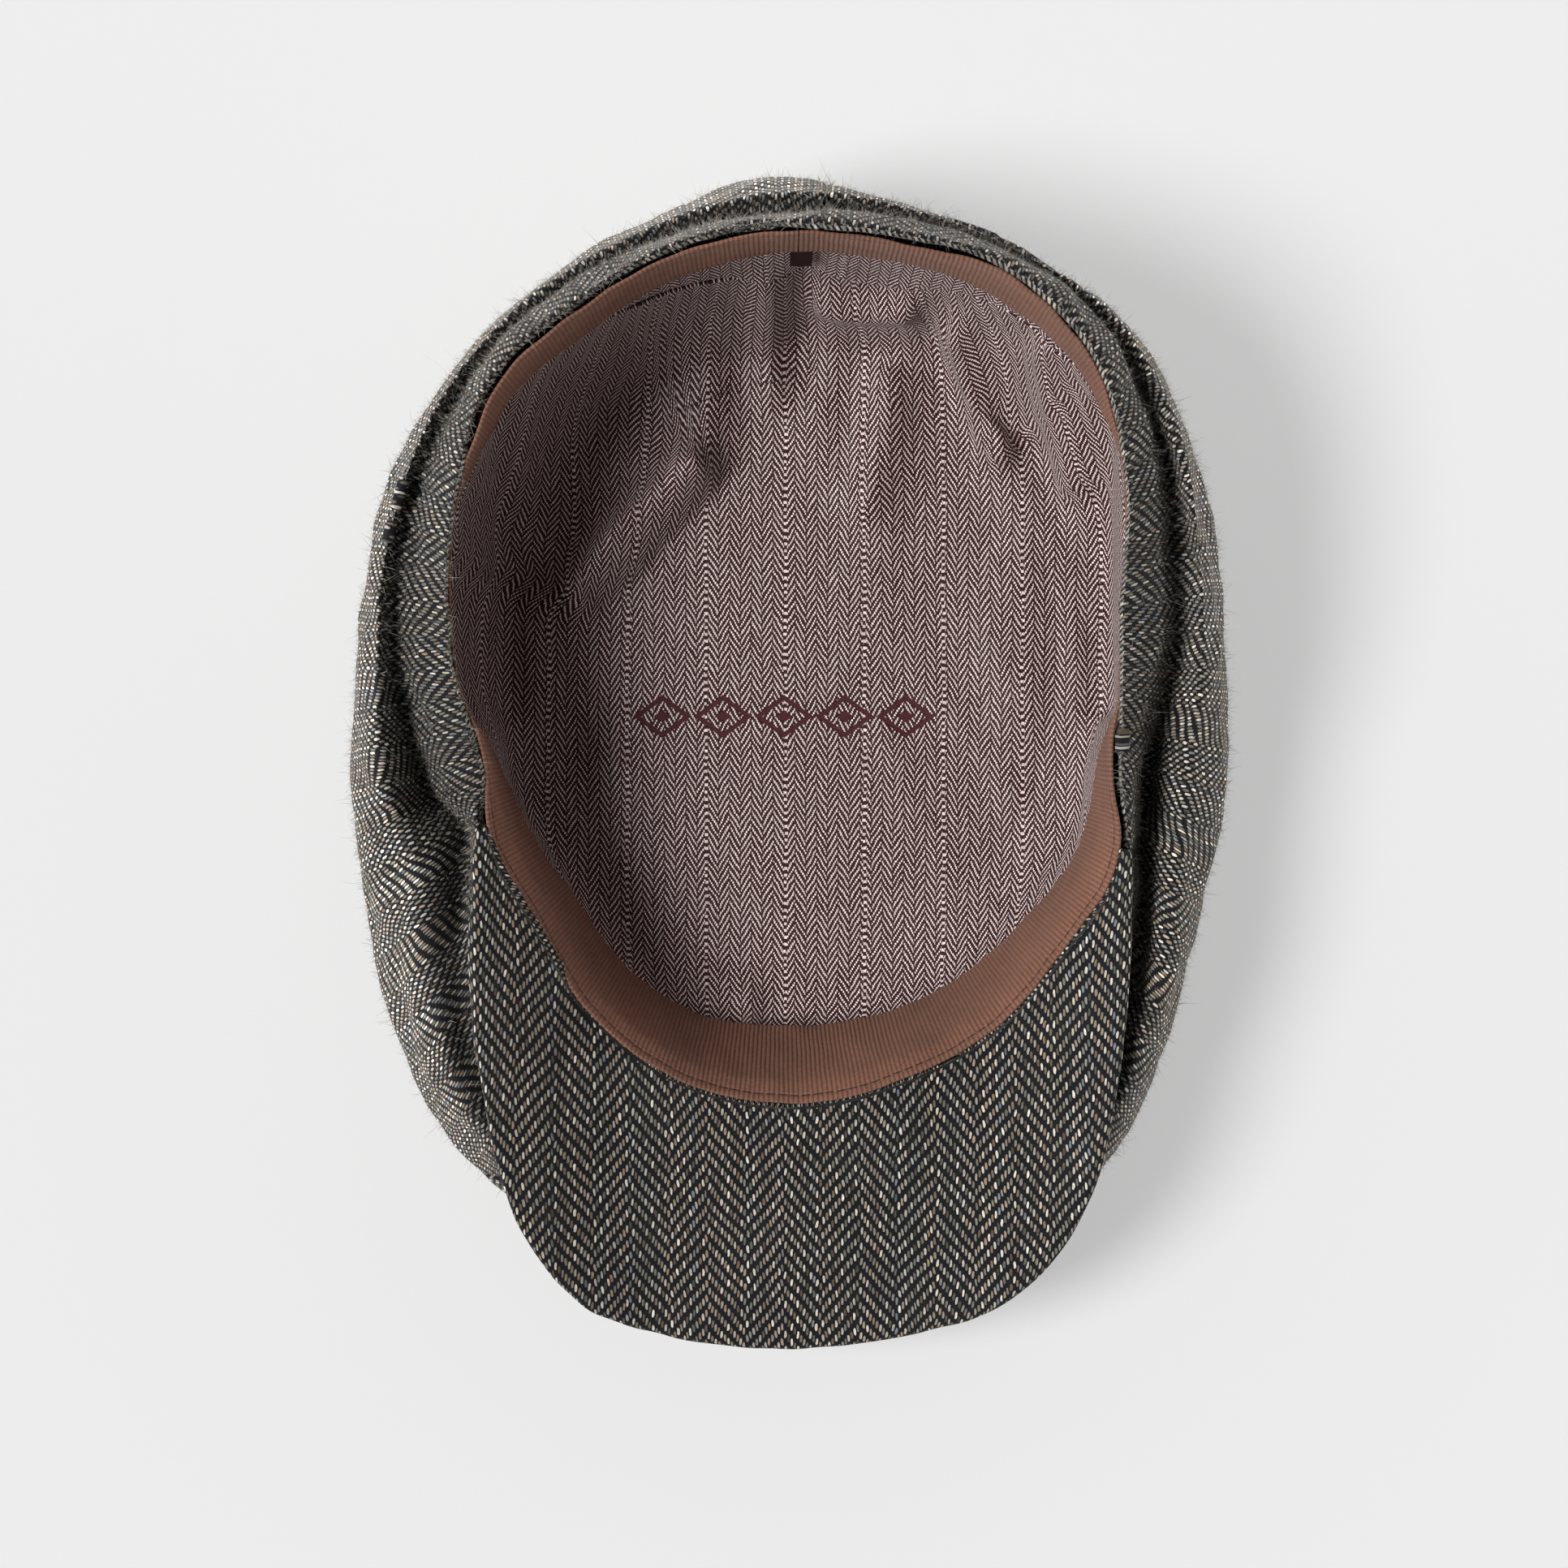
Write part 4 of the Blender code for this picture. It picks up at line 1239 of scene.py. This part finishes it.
def fuzz(name, surfaces, material):
    """Fine curved fibres, spread over the shown faces of the tweed."""
    chance = np.random.default_rng(5)
    roots = []
    headings = []
    for points, normals, share in surfaces:
        count = int(FUZZ_COUNT * share)
        rows = chance.integers(0, points.shape[0] - 1, count)
        columns = chance.integers(0, points.shape[1] - 1, count)
        mix_in = chance.random((count, 1))
        roots.append(points[rows, columns] * (1 - mix_in) + points[rows + 1, columns + 1] * mix_in)
        headings.append(normals[rows, columns])
    root = np.concatenate(roots)
    heading = np.concatenate(headings)
    upward = np.clip((heading[:, 2] - 0.25) / 0.35, 0.0, 1.0)
    kept = chance.random(len(root)) < 1 - upward * (1 - FUZZ_ON_TOP)
    root = root[kept][:FUZZ_KEPT]
    heading = unit(heading[kept][:FUZZ_KEPT] + chance.normal(size=root.shape) * 0.75)
    bend = chance.normal(size=root.shape) * 0.9
    length = chance.gamma(2.0, FUZZ_LENGTH, (len(root), 1)) + FUZZ_SHORTEST
    side = unit(np.cross(heading, chance.normal(size=root.shape)))
    points = []
    for place, width in ((0.0, 1.0), (0.35, 0.9), (0.7, 0.6), (1.0, 0.15)):
        spine = root + (heading * place + bend * place**2 * 0.5) * length
        spine[:, 2] = np.maximum(spine[:, 2], 0.0002)
        points += [spine - side * FUZZ_WIDTH * width, spine + side * FUZZ_WIDTH * width]
    points = np.stack(points, axis=1)
    base = np.arange(len(root))[:, None] * 8
    quads = [base + np.array([[k, k + 1, k + 3, k + 2]]) for k in (0, 2, 4)]
    faces = np.concatenate(quads).tolist()
    flat = points.reshape(-1, 3)
    return add_mesh(name, flat, faces, flat[:, :2].copy(), material)


# Floor, light and camera

CAMERA_PLACE = (-0.0011, -0.0042, 1.900)
CAMERA_LENS = 176.7
CAMERA_SENSOR = 36.0
SKY_HIGH = 0.12
SKY_LOW = 6.5
SKY_FALL = 6.0
SKY_BACK = 0.80
KEY_FROM = (-1.0, -0.14, 1.38)
KEY_LIGHT = 3.05
KEY_SPREAD = 24.0
FLOOR_REACH = 3.0
FLOOR_WHITE = 0.375
FLOOR_GLOW = 0.43


def floor_material():
    """Pale paper on a table, with a faint glow of its own that is painted light from no lamp and keeps
    its shadows light.
    """
    cloth = Cloth("floor_paper")
    white = cloth.grey(cloth.noise(3.0) * 0.01 + FLOOR_WHITE)
    cloth.link(white, cloth.shader.inputs["Base Color"])
    cloth.shader.inputs["Roughness"].default_value = 0.9
    cloth.shader.inputs["Specular IOR Level"].default_value = 0.0
    # Emission: painted light that lifts the floor's shadows
    cloth.shader.inputs["Emission Color"].default_value = (1.0, 1.0, 1.0, 1.0)
    cloth.shader.inputs["Emission Strength"].default_value = FLOOR_GLOW
    return cloth.material


def sky():
    """White surroundings, bright near the horizon and dim overhead."""
    world = bpy.data.worlds.new("studio")
    world.use_nodes = True
    tree = world.node_tree
    place = tree.nodes.new("ShaderNodeTexCoord")
    parts = tree.nodes.new("ShaderNodeSeparateXYZ")
    tree.links.new(place.outputs["Generated"], parts.inputs[0])
    up = Field(tree, parts.outputs[2]).math("MAXIMUM", 0.0)
    side = Field(tree, parts.outputs[1]) * SKY_BACK + 1.0
    light = up.flipped().power(SKY_FALL) * side * SKY_LOW + SKY_HIGH
    backdrop = tree.nodes["Background"]
    backdrop.inputs["Color"].default_value = (1.0, 1.0, 1.0, 1.0)
    tree.links.new(light.socket, backdrop.inputs["Strength"])
    return world


def studio():
    scene = bpy.context.scene
    scene.view_settings.view_transform = "Standard"
    corners = FLOOR_REACH * np.array([(-1, -1, 0), (1, -1, 0), (1, 1, 0), (-1, 1, 0)])
    floor = add_mesh("floor", corners, [(0, 1, 2, 3)], corners[:, :2], floor_material())
    scene.world = sky()
    sun = bpy.data.lights.new("window", "SUN")
    sun.energy = KEY_LIGHT
    sun.angle = radians(KEY_SPREAD)
    lamp = add_object("window", sun)
    lamp.location = KEY_FROM
    lamp.rotation_euler = (-lamp.location).to_track_quat("-Z", "Y").to_euler()
    camera = bpy.data.cameras.new("camera")
    camera.lens = CAMERA_LENS
    camera.sensor_width = CAMERA_SENSOR
    camera.clip_end = 100.0
    eye = add_object("camera", camera)
    eye.location = CAMERA_PLACE
    scene.camera = eye


def dress(piece, slot, *nodes):
    """Makes a piece move with the cap and lets it stand for nodes; slot is not used."""
    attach(piece, "root")
    if nodes:
        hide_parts(*nodes)


def main():
    # The three copies of the tweed differ in tone, which is painted shade (top panel darkest, then the
    # peak), as well as in sheen and bump depth
    plain = tweed_material("tweed_herringbone", rolled_edge=False, sheen=0.10, depth=0.00040, tone=0.92)
    soft = tweed_material("tweed_soft", rolled_edge=False, sheen=0.25, depth=0.00028, tone=0.86)
    rolled = tweed_material("tweed_rolled_edge", rolled_edge=True, sheen=0.25, depth=0.00028, tone=1.00)
    left = tweed_side("tweed_side_left", -SIDE_PANEL_END, BACK_SEAM_ANGLE - 0.05, rolled)
    right = tweed_side("tweed_side_right", BACK_SEAM_ANGLE + 0.05, SIDE_PANEL_END, rolled)
    top = tweed_top("tweed_top", soft)
    peak = peak_piece("tweed_peak", plain)
    band = sweatband_piece("grosgrain_sweatband", grosgrain_material())
    side = lining_side_piece("lining_side_cloth", lining_material("lining_herringbone", False))
    bowl = lining_top_piece("lining_top_cloth", lining_material("lining_embroidered", True))
    tab = tab_piece("woven_tab", plain_material("tab_ribbon", (0.022, 0.004, 0.004), 0.8, 900.0))
    wool = plain_material("loose_wool", (0.30, 0.28, 0.25), 0.9, 400.0)
    shown_top = [grid[:, :FUZZ_TOP_PLACES] for grid in top[1:]]
    hairs = ((*left[1:], 0.33), (*right[1:], 0.33), (*shown_top, 0.14), (*peak[1:], 0.20))
    loose = fuzz("tweed_fuzz", hairs, wool)
    dress(left[0], "tweed", "crown_side_left")
    dress(right[0], "tweed", "crown_side_right")
    dress(top[0], "tweed", "crown_top")
    dress(peak[0], "tweed", "peak")
    dress(band, "grosgrain", "sweatband")
    dress(side, "lining", "lining_side")
    dress(bowl, "lining", "lining_top")
    dress(tab, "tab", "size_tab")
    dress(loose, "tweed")
    studio()


main()
